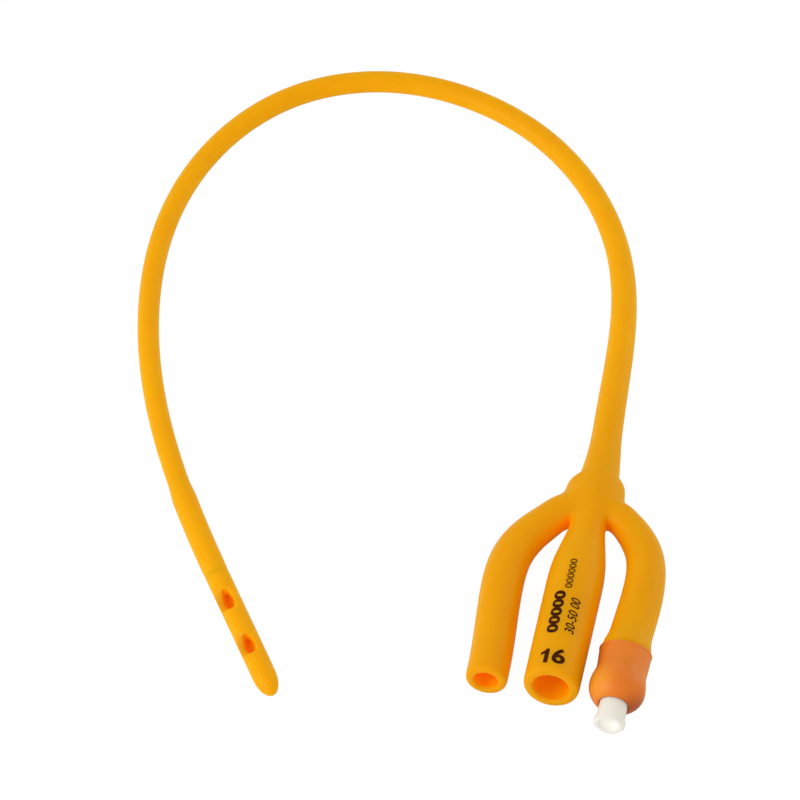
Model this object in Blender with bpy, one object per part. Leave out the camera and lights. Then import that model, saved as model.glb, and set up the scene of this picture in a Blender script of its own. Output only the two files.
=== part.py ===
"""Three-way balloon catheter, size 16, at rest on a table.

The shaft lies in one open bend from its tip to a moulded junction with three arms: a wide drainage
funnel, an irrigation arm and an inflation arm whose end holds a spring check valve under an orange
sleeve. Lengths are in metres, the table is z = 0 and the funnel points along -Y.
"""

import math

import bmesh
import bpy
import numpy as np
from mathutils import Matrix, Vector

MM = 0.001

# Clearances
SEAT_GAP = 0.3 * MM
FILM_GAP = 0.12 * MM
RUNNING_GAP = 0.2 * MM

# Shaft
SIZE_NUMBER = 16
SHAFT_RADIUS = SIZE_NUMBER / 6 * MM
TIP_RADIUS = 3.0 * MM
TIP_DOME = 6.2 * MM
TIP_ANGLES = [7, 22, 38, 55, 72, 90]
TAPER_LENGTH = 160 * MM
TAPER_GROWTH = 1.05 * MM
FLARE_LENGTH = 14 * MM
FLARE_GROWTH = 1.12 * MM
SHAFT_STEP = 5.2 * MM
SHAFT_SIDES = 16
LUMEN_STEP = 7.8 * MM
RISE_LENGTH = 105 * MM

# Centre line of the shaft on the table, from its tip to the junction
BEND = [
    (-17.0, -94.9), (-30.2, -73.8), (-44.1, -51.4), (-56.6, -27.8), (-65.1, -5.8), (-70.2, 19.2),
    (-69.6, 43.2), (-62.0, 65.4), (-46.3, 83.4), (-25.6, 91.8), (-3.2, 90.8), (18.4, 81.0),
    (35.6, 62.6), (44.6, 41.2), (48.0, 17.2), (49.2, -2.8),
]

# Lumens: offsets are sideways and upwards from the centre of the plain shaft
DRAIN_LUMEN_RADIUS = 1.25 * MM
DRAIN_LUMEN_RISE = 0.65 * MM
DRAIN_LUMEN_END = 11 * MM
IRRIGATION_LUMEN_RADIUS = 0.55 * MM
IRRIGATION_LUMEN_SIDE = 0.8 * MM
IRRIGATION_LUMEN_END = 21.5 * MM
INFLATION_LUMEN_RADIUS = 0.35 * MM
INFLATION_LUMEN_SIDE = -0.85 * MM
INFLATION_LUMEN_END = 50.5 * MM
SMALL_LUMEN_DROP = 1.4 * MM

# Eyes: the way they face, and how far from the tip each one is
EYE_FACING = Vector((-0.08, -0.52, 0.85))
EYE_PLACES = [14.9 * MM, 29.1 * MM]
EYE_BOWL = (7.0 * MM, 4.4 * MM, 1.3 * MM)
EYE_HOLE = (5.9 * MM, 2.9 * MM, 2.4 * MM)
RINSE_EYE_PLACE = 24 * MM
RINSE_EYE = (4.0 * MM, 1.8 * MM, 1.6 * MM)
PORT_PLACE = 52 * MM
PORT_WIDTH = 1.0 * MM

# Balloon
BALLOON_START = 38 * MM
BALLOON_LENGTH = 29 * MM
BALLOON_RADIUS = 3.06 * MM
BALLOON_EDGE = 0.18 * MM
BALLOON_TAPER = 4.5 * MM
BALLOON_SEAT_DEPTH = 0.16 * MM

# Junction
HUB_TOP_Y = -18.2 * MM
HUB_HALF_WIDTH = 7.2 * MM
HUB_HALF_THICKNESS = 5.7 * MM
HUB_WEB = 1.6 * MM
HUB_LIP = 0.35 * MM
SHOULDER_LENGTH = 4.8 * MM
HUB_LENGTH = 17.2 * MM
SOCKET_DEPTH = 5.6 * MM
CHANNEL_OVERLAP = 0.6 * MM
JUNCTION_SIDES = 24
BORE_SIDES = 16
CURVED_STEP = 2.8 * MM
PLAIN_STEP = 6.5 * MM
BORE_STEP = 4.5 * MM
BORE_OVERRUN = 1 * MM

# Drainage funnel
FUNNEL_X = 50.0 * MM
FUNNEL_END_Y = -83.5 * MM
FUNNEL_RADIUS = 7.0 * MM
FUNNEL_WALL = 2.2 * MM
NECK_RADIUS = 4.95 * MM
BELL_START_Y = -37.8 * MM
BELL_LENGTH = 12.5 * MM
END_ROUNDING = 1.2 * MM
END_BORDER = 0.2 * MM

# Irrigation arm, with the centre line that is stretched sideways to meet the arm's own end
IRRIGATION_ROUTE = [
    (47.4, -23.8), (45.2, -28.2), (42.0, -31.9), (39.1, -34.9), (36.6, -38.1), (34.5, -41.8),
    (33.1, -46.0), (32.6, -51.0), (32.9, -60.8), (33.6, -70.8), (33.9, -77.0),
]
IRRIGATION_END_X = 33.75 * MM
IRRIGATION_END_Y = -82.9 * MM
IRRIGATION_ROOT_RADIUS = 4.0 * MM
IRRIGATION_RADIUS = 5.2 * MM
IRRIGATION_GROWTH_LENGTH = 32.5 * MM
IRRIGATION_WALL = 2.05 * MM

# Inflation arm, whose centre line is stretched in the same way
INFLATION_ROUTE = [
    (52.5, -23.8), (54.9, -27.4), (57.7, -30.1), (60.5, -32.7), (62.9, -35.6), (65.1, -39.4),
    (66.4, -43.8), (66.9, -48.8), (66.8, -56.8), (66.3, -64.8), (66.05, -72.0),
]
INFLATION_ROOT_RADIUS = 3.4 * MM
INFLATION_RADIUS = 5.35 * MM
INFLATION_GROWTH_LENGTH = 46 * MM
INFLATION_CHANNEL_RADIUS = 0.8 * MM
SLEEVE_SEAT_RADIUS = 5.5 * MM
SEAT_EASE_LENGTH = 6 * MM

# Check valve: distances run inwards from its mouth
VALVE_X = 66.05 * MM
VALVE_MOUTH_Y = -91.0 * MM
VALVE_SIDES = 24
LUER_RADIUS = 2.15 * MM
LUER_TAPER = 0.03
LUER_DEPTH = 8.6 * MM
LUER_OUTER_RADIUS = 3.5 * MM
LUG_RADIUS = 3.9 * MM
LUG_LENGTH = 1.3 * MM
LUG_ANGLE = math.radians(50)
COLLAR_START = 9.6 * MM
COLLAR_LENGTH = 2.5 * MM
COLLAR_RADIUS = 5.1 * MM
NECK_BORE_RADIUS = 1.55 * MM
NECK_BORE_LENGTH = 1.5 * MM
CHAMBER_RADIUS = 2.75 * MM
CHAMBER_LENGTH = 11.4 * MM
BARREL_RADIUS = 3.75 * MM
BARB_HEIGHT = 0.4 * MM
BARB_LENGTH = 2.6 * MM
BARB_COUNT = 2
MOULD_EDGE = 0.25 * MM
SMALL_EDGE = 0.15 * MM

# Moving parts of the valve
PLUNGER_TRAVEL = 1.5 * MM
SYRINGE_GAP = 1.9 * MM
STEM_REACH = SYRINGE_GAP + PLUNGER_TRAVEL
STEM_RADIUS = 1.1 * MM
STEM_RIB = 0.6 * MM
HEAD_RADIUS = 2.3 * MM
HEAD_THICKNESS = 1.0 * MM
GUIDE_RADIUS = 1.0 * MM
GUIDE_LENGTH = 2.6 * MM
SEAL_THICKNESS = 1.0 * MM
SEAL_RADIUS = 2.25 * MM
SEAL_GAP = 0.1 * MM
SPRING_WIRE_RADIUS = 0.2 * MM
SPRING_RADIUS = 1.65 * MM
SPRING_TURNS = 5
SPRING_STEPS = 14
RETAINER_THICKNESS = 1.6 * MM
RETAINER_HOLE_RADIUS = 0.9 * MM
RETAINER_SLOT = 0.7 * MM

# Orange sleeve
SLEEVE_TOP_Y = -68.7 * MM
SLEEVE_END_Y = -84.9 * MM
SLEEVE_WALL = 0.6 * MM
SLEEVE_LIP = 0.22 * MM
SLEEVE_LIP_LENGTH = 1.0 * MM
SLEEVE_THROAT_LENGTH = 0.9 * MM
SLEEVE_BULGE_RADIUS = 7.1 * MM
SLEEVE_BULGE_Y = -80.0 * MM

# Heights of the three arms: each one's own roundest part lies on the table
FUNNEL_Z = FUNNEL_RADIUS
IRRIGATION_Z = IRRIGATION_RADIUS
VALVE_Z = SLEEVE_BULGE_RADIUS

# Ends of the parts inside the inflation arm
COLLAR_END = COLLAR_START + COLLAR_LENGTH
ARM_END_Y = VALVE_MOUTH_Y + COLLAR_END + SEAT_GAP
VALVE_SEAT = LUER_DEPTH + NECK_BORE_LENGTH
BARREL_END = VALVE_SEAT + CHAMBER_LENGTH
HUB_END_RADIUS = SHAFT_RADIUS + TAPER_GROWTH + FLARE_GROWTH


def smooth(value):
    """Ease from 0 to 1."""
    value = min(max(value, 0.0), 1.0)
    return value * value * (3 - 2 * value)


def quarter(value):
    """Rise from 0 to 1 along a quarter of a sine."""
    return math.sin(min(max(value, 0.0), 1.0) * math.pi / 2)


class Route:
    """Smooth curve through chosen points, read by its length from the first one."""

    def __init__(self, points, end_way=Vector((0, -1, 0)), samples=1600, height=None):
        knots = np.array([tuple(point) for point in points])
        spans = np.linalg.norm(np.diff(knots, axis=0), axis=1)
        count = len(knots)
        matrix = np.zeros((count, count))
        right = np.zeros((count, 3))
        for i in range(1, count - 1):
            before, after = 1 / spans[i - 1], 1 / spans[i]
            matrix[i, i - 1:i + 2] = before, 2 * (before + after), after
            right[i] = 3 * (
                (knots[i] - knots[i - 1]) * before ** 2 + (knots[i + 1] - knots[i]) * after ** 2
            )
        matrix[0, :2] = 2, 1
        right[0] = 3 * (knots[1] - knots[0]) / spans[0]
        matrix[-1, -1] = 1
        right[-1] = tuple(end_way)
        slopes = np.linalg.solve(matrix, right)
        starts = np.concatenate(([0], np.cumsum(spans)))
        where = np.linspace(0, starts[-1], samples)
        piece = np.clip(np.searchsorted(starts, where, side="right") - 1, 0, count - 2)
        span = spans[piece][:, None]
        t = (where - starts[piece])[:, None] / span
        self.places = (
            (2 * t ** 3 - 3 * t ** 2 + 1) * knots[piece]
            + (t ** 3 - 2 * t ** 2 + t) * span * slopes[piece]
            + (3 * t ** 2 - 2 * t ** 3) * knots[piece + 1]
            + (t ** 3 - t ** 2) * span * slopes[piece + 1]
        )
        self.measure()
        if height:
            self.places[:, 2] = [height(distance, self.length) for distance in self.lengths]
            self.measure()

    def measure(self):
        """Length along the curve at each sample."""
        steps = np.linalg.norm(np.diff(self.places, axis=0), axis=1)
        self.lengths = np.concatenate(([0], np.cumsum(steps)))
        self.length = float(self.lengths[-1])

    def place(self, distance):
        """Point at a distance; past the last point the route goes straight on."""
        inside = min(max(distance, 0.0), self.length)
        point = Vector([float(np.interp(inside, self.lengths, self.places[:, k])) for k in range(3)])
        return point + self.way(inside) * (distance - inside)

    def way(self, distance):
        """Direction of travel at a distance."""
        reach = self.length / 400
        low = min(max(distance - reach, 0.0), self.length - 2 * reach)
        ends = [
            Vector([float(np.interp(low + k * 2 * reach, self.lengths, self.places[:, j])) for j in range(3)])
            for k in (0, 1)
        ]
        return (ends[1] - ends[0]).normalized()

    def axes(self, distance):
        """Sideways and upward directions across the route."""
        way = self.way(distance)
        side = way.cross(Vector((0, 0, 1))).normalized()
        return side, side.cross(way).normalized()

    def ring(self, distance, radius, sides, side_offset=0.0, up_offset=0.0):
        """Regular ring of points across the route, one of them straight down."""
        side, up = self.axes(distance)
        centre = self.place(distance) + side * side_offset + up * up_offset
        turns = [2 * math.pi * k / sides - math.pi / 2 for k in range(sides)]
        return [centre + side * radius * math.cos(turn) + up * radius * math.sin(turn) for turn in turns]


def new_object(name, bm, material=None):
    """Finish a mesh as a named object with outward faces and smooth round sides."""
    bmesh.ops.recalc_face_normals(bm, faces=bm.faces[:])
    mesh = bpy.data.meshes.new(name)
    bm.to_mesh(mesh)
    bm.free()
    mesh.shade_smooth()
    mesh.set_sharp_from_angle(angle=math.radians(38))
    piece = bpy.data.objects.new(name, mesh)
    bpy.context.collection.objects.link(piece)
    if material:
        mesh.materials.append(material)
    return piece


def lofted(name, rings, material=None, looped=False):
    """Closed body through a row of rings; a looped one joins its last ring to its first."""
    bm = bmesh.new()
    rows = [[bm.verts.new(point) for point in ring] for ring in rings]
    pairs = list(zip(rows, rows[1:]))
    if looped:
        pairs.append((rows[-1], rows[0]))
    for low, high in pairs:
        for k in range(len(low)):
            after = (k + 1) % len(low)
            bm.faces.new((low[k], low[after], high[after], high[k]))
    if not looped:
        bm.faces.new(rows[0])
        bm.faces.new(rows[-1])
    return new_object(name, bm, material)


def turned(name, outline, sides, material=None):
    """Body turned about local Z from (along, radius) points; radius 0 at both ends closes it."""
    turns = [2 * math.pi * k / sides - math.pi / 2 for k in range(sides)]
    closed = outline[0][1] > 0
    bm = bmesh.new()
    rows = []
    for along, radius in outline:
        if radius > 0:
            rows.append([bm.verts.new((radius * math.cos(t), radius * math.sin(t), along)) for t in turns])
        else:
            rows.append([bm.verts.new((0, 0, along))] * sides)
    pairs = list(zip(rows, rows[1:]))
    if closed:
        pairs.append((rows[-1], rows[0]))
    for low, high in pairs:
        for k in range(sides):
            after = (k + 1) % sides
            corners = [low[k], low[after], high[after], high[k]]
            bm.faces.new(list(dict.fromkeys(corners)))
    return new_object(name, bm, material)


def prism(name, outline, low, high, material=None):
    """Outline in local XY, extruded along local Z."""
    bm = bmesh.new()
    base = bm.faces.new([bm.verts.new((x, y, low)) for x, y in outline])
    lifted = bmesh.ops.extrude_face_region(bm, geom=[base])["geom"]
    corners = [item for item in lifted if isinstance(item, bmesh.types.BMVert)]
    bmesh.ops.translate(bm, verts=corners, vec=(0, 0, high - low))
    return new_object(name, bm, material)


def combine(target, tool, operation):
    """Join a shape to a piece, or cut it away, with the tool left as a wire guide."""
    modifier = target.modifiers.new(tool.name, "BOOLEAN")
    modifier.operation = operation
    modifier.object = tool
    modifier.solver = "EXACT"
    tool.hide_render = True
    tool.display_type = "WIRE"


def plastic(name, colour, roughness, transmission=0.0, metallic=0.0):
    """Principled material of one colour."""
    material = bpy.data.materials.new(name)
    material.use_nodes = True
    shader = material.node_tree.nodes["Principled BSDF"]
    shader.inputs["Base Color"].default_value = (*colour, 1)
    shader.inputs["Roughness"].default_value = roughness
    shader.inputs["Transmission Weight"].default_value = transmission
    shader.inputs["Metallic"].default_value = metallic
    return material


def plain_radius(distance, length):
    """Outer radius of a shaft of some length, without its tip and its balloon seat."""
    taper = max((distance - length + TAPER_LENGTH) / (TAPER_LENGTH - FLARE_LENGTH), 0)
    flare = max((distance - length + FLARE_LENGTH) / FLARE_LENGTH, 0)
    return SHAFT_RADIUS + TAPER_GROWTH * min(taper, 1) ** 2.3 + FLARE_GROWTH * min(flare, 1) ** 1.6


def resting_height(distance, length):
    """Height of the shaft's centre: it lies on the table and rises to the junction."""
    past_balloon = smooth((distance - BALLOON_START - BALLOON_LENGTH) / BALLOON_LENGTH)
    rest = plain_radius(distance, length) + (BALLOON_RADIUS - SHAFT_RADIUS) * (1 - past_balloon)
    rise = smooth((distance - length + RISE_LENGTH) / RISE_LENGTH)
    return rest + (FUNNEL_Z - rest) * rise


def shaft_route():
    """Centre line of the whole shaft from its tip to the junction."""
    flat = [Vector((x * MM, y * MM, 0)) for x, y in BEND] + [Vector((FUNNEL_X, HUB_TOP_Y, 0))]
    return Route(flat, height=resting_height)


def lumen_ring(route, distance, radius, side, up, sides):
    """Ring of one lumen, which widens and moves out as the shaft does."""
    scale = plain_radius(distance, route.length) / SHAFT_RADIUS
    return route.ring(distance, radius * scale, sides, side * scale, up * scale)


def stations(start, end, step):
    """Evenly spread distances from start to end, about a step apart."""
    count = max(round((end - start) / step), 1)
    return [start + (end - start) * k / count for k in range(count + 1)]


def build_shaft(route, material):
    """One tapering tube with a round tip, three lumens, its eyes and the balloon's seat."""
    balloon_end = BALLOON_START + BALLOON_LENGTH
    seat_radius = SHAFT_RADIUS - BALLOON_SEAT_DEPTH
    plug_end = route.length + SOCKET_DEPTH - SEAT_GAP
    taper_start = route.length - TAPER_LENGTH
    flare_start = route.length - FLARE_LENGTH
    rings = []
    for angle in map(math.radians, TIP_ANGLES):
        distance = TIP_DOME * (1 - math.cos(angle))
        rings.append(route.ring(distance, TIP_RADIUS * math.sin(angle), SHAFT_SIDES))
    for distance in stations(TIP_DOME, BALLOON_START, SHAFT_STEP)[1:]:
        rings.append(route.ring(distance, TIP_RADIUS, SHAFT_SIDES))
    for distance in stations(BALLOON_START, balloon_end, SHAFT_STEP):
        rings.append(route.ring(distance, seat_radius, SHAFT_SIDES))
    plain = stations(balloon_end, taper_start, SHAFT_STEP)
    taper = stations(taper_start, flare_start, SHAFT_STEP)[1:]
    flare = stations(flare_start, route.length, SHAFT_STEP / 2)[1:]
    for distance in plain + taper + flare + [plug_end]:
        radius = plain_radius(min(distance, route.length), route.length)
        rings.append(route.ring(distance, radius, SHAFT_SIDES))
    shaft = lofted("shaft", rings, material)

    lumens = [
        ("drain_lumen", DRAIN_LUMEN_RADIUS, 0.0, DRAIN_LUMEN_RISE, DRAIN_LUMEN_END, 10),
        ("irrigation_lumen", IRRIGATION_LUMEN_RADIUS, IRRIGATION_LUMEN_SIDE, -SMALL_LUMEN_DROP,
         IRRIGATION_LUMEN_END, 6),
        ("inflation_lumen", INFLATION_LUMEN_RADIUS, INFLATION_LUMEN_SIDE, -SMALL_LUMEN_DROP,
         INFLATION_LUMEN_END, 6),
    ]
    for name, radius, side, up, start, sides in lumens:
        along = stations(start, taper_start, LUMEN_STEP) + taper + flare
        rings = [lumen_ring(route, distance, radius, side, up, sides) for distance in along]
        last = lumen_ring(route, route.length, radius, side, up, sides)
        overrun = route.way(route.length) * (plug_end - route.length + CHANNEL_OVERLAP)
        rings.append([point + overrun for point in last])
        combine(shaft, lofted(name, rings), "DIFFERENCE")

    for number, distance in enumerate(EYE_PLACES, 1):
        way = route.way(distance)
        facing = (EYE_FACING - way * EYE_FACING.dot(way)).normalized()
        for name, size in (("bowl", EYE_BOWL), ("hole", EYE_HOLE)):
            cut_scoop(shaft, f"drain_eye_{number}_{name}", size, route, distance, facing, TIP_RADIUS)
    side, up = route.axes(RINSE_EYE_PLACE)
    facing = (side * IRRIGATION_LUMEN_SIDE - up * SMALL_LUMEN_DROP).normalized()
    cut_scoop(shaft, "rinse_eye", RINSE_EYE, route, RINSE_EYE_PLACE, facing, TIP_RADIUS)
    side, up = route.axes(PORT_PLACE)
    facing = (side * INFLATION_LUMEN_SIDE - up * SMALL_LUMEN_DROP).normalized()
    wall = seat_radius - math.hypot(INFLATION_LUMEN_SIDE, SMALL_LUMEN_DROP)
    size = (PORT_WIDTH, PORT_WIDTH, wall + INFLATION_LUMEN_RADIUS / 2)
    cut_scoop(shaft, "balloon_port", size, route, PORT_PLACE, facing, seat_radius)
    return shaft


def cut_scoop(target, name, size, route, distance, facing, radius):
    """Cut a rounded hollow (length, width, depth) into the side of the route that it faces."""
    length, width, depth = size
    bm = bmesh.new()
    bmesh.ops.create_uvsphere(bm, u_segments=12, v_segments=8, radius=1)
    bmesh.ops.scale(bm, vec=(length / 2, width / 2, depth), verts=bm.verts[:])
    cutter = new_object(name, bm)
    way = route.way(distance)
    turn = Matrix((way, facing.cross(way), facing)).transposed().to_4x4()
    cutter.matrix_world = Matrix.Translation(route.place(distance) + facing * radius) @ turn
    combine(target, cutter, "DIFFERENCE")


def build_balloon(route, material):
    """Thin elastic sleeve round its seat, flush with the tip and feathered at its other end."""
    start = BALLOON_START + SEAT_GAP
    end = BALLOON_START + BALLOON_LENGTH - SEAT_GAP
    inner = SHAFT_RADIUS - BALLOON_SEAT_DEPTH + FILM_GAP
    edge = inner + BALLOON_EDGE
    outer_rings = []
    for distance in stations(start, end, SHAFT_STEP / 2):
        radius = TIP_RADIUS + (BALLOON_RADIUS - TIP_RADIUS) * smooth((distance - start) / BALLOON_TAPER)
        radius -= (radius - edge) * (1 - smooth((end - distance) / BALLOON_TAPER))
        outer_rings.append(route.ring(distance, radius, SHAFT_SIDES))
    inner_rings = [route.ring(distance, inner, SHAFT_SIDES) for distance in stations(start, end, SHAFT_STEP)]
    return lofted("balloon", outer_rings + inner_rings[::-1], material, looped=True)


def hub_ring(y, half_width, half_thickness, centre_x):
    """Rounded oblong across the junction."""
    points = []
    for k in range(JUNCTION_SIDES):
        turn = 2 * math.pi * k / JUNCTION_SIDES - math.pi / 2
        flat = abs(math.cos(turn)) ** 0.8 * math.copysign(1, math.cos(turn))
        tall = abs(math.sin(turn)) ** 0.9 * math.copysign(1, math.sin(turn))
        points.append(Vector((centre_x + half_width * flat, y, FUNNEL_Z + half_thickness * tall)))
    return points


def build_hub():
    """Flattened middle of the junction, with a rounded shoulder round the shaft."""
    lip = HUB_END_RADIUS + SEAT_GAP + HUB_LIP
    rings = []
    for k in range(6):
        angle = k / 5 * math.pi / 2
        y = HUB_TOP_Y - SHOULDER_LENGTH * (1 - math.cos(angle))
        half_width = lip + (HUB_HALF_WIDTH - lip) * math.sin(angle)
        half_thickness = lip + (HUB_HALF_THICKNESS - lip) * math.sin(angle)
        rings.append(hub_ring(y, half_width, half_thickness, FUNNEL_X))
    waist = NECK_RADIUS * 0.9
    body = HUB_LENGTH - SHOULDER_LENGTH
    for k in range(1, 7):
        share = k / 6
        y = HUB_TOP_Y - SHOULDER_LENGTH - body * share
        webbed = HUB_HALF_WIDTH + HUB_WEB * math.sin(math.pi * min(share / 0.7, 1))
        half_width = webbed + (waist - webbed) * smooth((share - 0.4) / 0.6)
        half_thickness = HUB_HALF_THICKNESS + (waist - HUB_HALF_THICKNESS) * smooth(share)
        rings.append(hub_ring(y, half_width, half_thickness, FUNNEL_X))
    return rings


def arm_points(flat_points, end):
    """Centre line of an arm, easing from the funnel's axis and height to its own end."""
    stretch = (end.x - FUNNEL_X) / (flat_points[-1][0] * MM - FUNNEL_X)
    points = [Vector((FUNNEL_X + (x * MM - FUNNEL_X) * stretch, y * MM, 0)) for x, y in flat_points]
    first, last = points[0].y, points[-1].y
    for point in points:
        point.z = FUNNEL_Z + (end.z - FUNNEL_Z) * smooth((point.y - first) / (last - first))
    return points + [end]


def rounded_end(route, radius, sides):
    """Last rings of an arm, rounded at the edge of its flat end."""
    rings = []
    for k in range(4):
        angle = k / 3 * math.pi / 2
        distance = route.length - END_ROUNDING * (1 - math.sin(angle))
        rings.append(route.ring(distance, radius - END_ROUNDING * (1 - math.cos(angle)), sides))
    rings.append(route.ring(route.length, radius - END_ROUNDING - END_BORDER, sides))
    return rings


def build_funnel(route):
    """Drainage arm: a neck that opens in a bell to a wide straight funnel."""
    rings = []
    bell_start = HUB_TOP_Y - SOCKET_DEPTH - BELL_START_Y
    bell_end = bell_start + BELL_LENGTH
    for distance in stations(0, bell_start, PLAIN_STEP):
        rings.append(route.ring(distance, NECK_RADIUS, JUNCTION_SIDES))
    for distance in stations(bell_start, bell_end, BELL_LENGTH / 7)[1:]:
        radius = NECK_RADIUS + (FUNNEL_RADIUS - NECK_RADIUS) * quarter((distance - bell_start) / BELL_LENGTH)
        rings.append(route.ring(distance, radius, JUNCTION_SIDES))
    rings += rounded_end(route, FUNNEL_RADIUS, JUNCTION_SIDES)
    return lofted("drainage_arm", rings)


def build_irrigation_arm(route):
    """Left arm: widens as it swings out and runs straight to its open end."""
    growth = IRRIGATION_RADIUS - IRRIGATION_ROOT_RADIUS
    rings = []
    for distance in stations(0, IRRIGATION_GROWTH_LENGTH, CURVED_STEP):
        radius = IRRIGATION_ROOT_RADIUS + growth * smooth(distance / IRRIGATION_GROWTH_LENGTH)
        rings.append(route.ring(distance, radius, JUNCTION_SIDES))
    for distance in stations(IRRIGATION_GROWTH_LENGTH, route.length - END_ROUNDING, PLAIN_STEP)[1:-1]:
        rings.append(route.ring(distance, IRRIGATION_RADIUS, JUNCTION_SIDES))
    rings += rounded_end(route, IRRIGATION_RADIUS, JUNCTION_SIDES)
    return lofted("irrigation_arm", rings)


def build_inflation_arm(route):
    """Right arm: bows outwards, then swells where the valve is pushed into it."""
    growth = INFLATION_RADIUS - INFLATION_ROOT_RADIUS
    swell = SLEEVE_SEAT_RADIUS - INFLATION_RADIUS
    swell_start = route.length - (SLEEVE_TOP_Y - ARM_END_Y) - SEAT_EASE_LENGTH
    along = stations(0, INFLATION_GROWTH_LENGTH * 0.6, CURVED_STEP)
    along += stations(along[-1], swell_start, PLAIN_STEP)[1:]
    along += stations(swell_start, swell_start + SEAT_EASE_LENGTH, SEAT_EASE_LENGTH / 3)[1:]
    along += [route.length]
    rings = []
    for distance in along:
        radius = INFLATION_ROOT_RADIUS + growth * quarter(distance / INFLATION_GROWTH_LENGTH)
        radius += swell * smooth((distance - swell_start) / SEAT_EASE_LENGTH)
        rings.append(route.ring(distance, radius, JUNCTION_SIDES))
    return lofted("inflation_arm", rings)


def cut_channel(target, name, route, radius_at, sides):
    """Cut a bore that runs the whole of a route and out of its end."""
    along = stations(0, route.length, BORE_STEP)
    rings = [route.ring(distance, radius_at(distance), sides) for distance in along]
    rings.append(route.ring(route.length + BORE_OVERRUN, radius_at(route.length), sides))
    combine(target, lofted(name, rings), "DIFFERENCE")


def build_junction(material):
    """Moulded junction: hub and three arms in one piece, with a socket and three bores."""
    floor_y = HUB_TOP_Y - SOCKET_DEPTH
    start_y = floor_y + CHANNEL_OVERLAP
    scale = HUB_END_RADIUS / SHAFT_RADIUS
    drain_top = FUNNEL_Z + DRAIN_LUMEN_RISE * scale
    small_top = FUNNEL_Z - SMALL_LUMEN_DROP * scale
    irrigation_x = FUNNEL_X - IRRIGATION_LUMEN_SIDE * scale
    inflation_x = FUNNEL_X - INFLATION_LUMEN_SIDE * scale

    funnel_line = Route([Vector((FUNNEL_X, y, FUNNEL_Z)) for y in (floor_y, BELL_START_Y, FUNNEL_END_Y)])
    irrigation_end = Vector((IRRIGATION_END_X, IRRIGATION_END_Y, IRRIGATION_Z))
    irrigation_points = arm_points(IRRIGATION_ROUTE, irrigation_end)
    inflation_points = arm_points(INFLATION_ROUTE, Vector((VALVE_X, ARM_END_Y, VALVE_Z)))

    junction = lofted("three_way_junction", build_hub(), material)
    combine(junction, build_funnel(funnel_line), "UNION")
    combine(junction, build_irrigation_arm(Route(irrigation_points)), "UNION")
    combine(junction, build_inflation_arm(Route(inflation_points)), "UNION")

    socket_line = Route([Vector((FUNNEL_X, y, FUNNEL_Z)) for y in (HUB_TOP_Y + BORE_OVERRUN, start_y, floor_y)])
    socket_radius = HUB_END_RADIUS + SEAT_GAP
    socket_rings = [socket_line.ring(d, socket_radius, SHAFT_SIDES) for d in (0, socket_line.length)]
    combine(junction, lofted("shaft_socket", socket_rings), "DIFFERENCE")

    funnel_bore = FUNNEL_RADIUS - FUNNEL_WALL
    drain_start = DRAIN_LUMEN_RADIUS * scale
    drain_ys = [start_y, (start_y + BELL_START_Y) / 2, BELL_START_Y - BELL_LENGTH, FUNNEL_END_Y]
    drain_zs = [drain_top, (drain_top + FUNNEL_Z) / 2, FUNNEL_Z, FUNNEL_Z]
    drain_line = Route([Vector((FUNNEL_X, y, z)) for y, z in zip(drain_ys, drain_zs)])
    drain_growth = start_y - BELL_START_Y + BELL_LENGTH

    def drain_radius(distance):
        return drain_start + (funnel_bore - drain_start) * smooth(distance / drain_growth)

    cut_channel(junction, "drain_bore", drain_line, drain_radius, BORE_SIDES)

    irrigation_bore = IRRIGATION_RADIUS - IRRIGATION_WALL
    irrigation_start = IRRIGATION_LUMEN_RADIUS * scale
    first = Vector((irrigation_x, start_y, small_top))
    irrigation_line = Route([first] + irrigation_points[1:])

    def irrigation_radius(distance):
        return irrigation_start + (irrigation_bore - irrigation_start) * smooth(
            distance / IRRIGATION_GROWTH_LENGTH)

    cut_channel(junction, "irrigation_bore", irrigation_line, irrigation_radius, BORE_SIDES)

    first = Vector((inflation_x, start_y, small_top))
    inflation_line = Route([first] + inflation_points[1:])

    def inflation_radius(_distance):
        return INFLATION_CHANNEL_RADIUS

    cut_channel(junction, "inflation_bore", inflation_line, inflation_radius, BORE_SIDES // 2)

    valve_line = Route([Vector((VALVE_X, y, VALVE_Z)) for y in (
        VALVE_MOUTH_Y + BARREL_END + SEAT_GAP, ARM_END_Y + BARB_LENGTH, ARM_END_Y - BORE_OVERRUN)])
    barrel_bore = BARREL_RADIUS + BARB_HEIGHT + SEAT_GAP
    valve_rings = [valve_line.ring(d, barrel_bore, VALVE_SIDES) for d in (0, valve_line.length)]
    combine(junction, lofted("valve_socket", valve_rings), "DIFFERENCE")
    return junction


def valve_holder():
    """Empty at the valve's mouth whose Z axis points into the inflation arm."""
    holder = bpy.data.objects.new("valve_axis", None)
    bpy.context.collection.objects.link(holder)
    holder.location = (VALVE_X, VALVE_MOUTH_Y, VALVE_Z)
    holder.rotation_euler = (math.radians(-90), 0, 0)
    return holder


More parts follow.
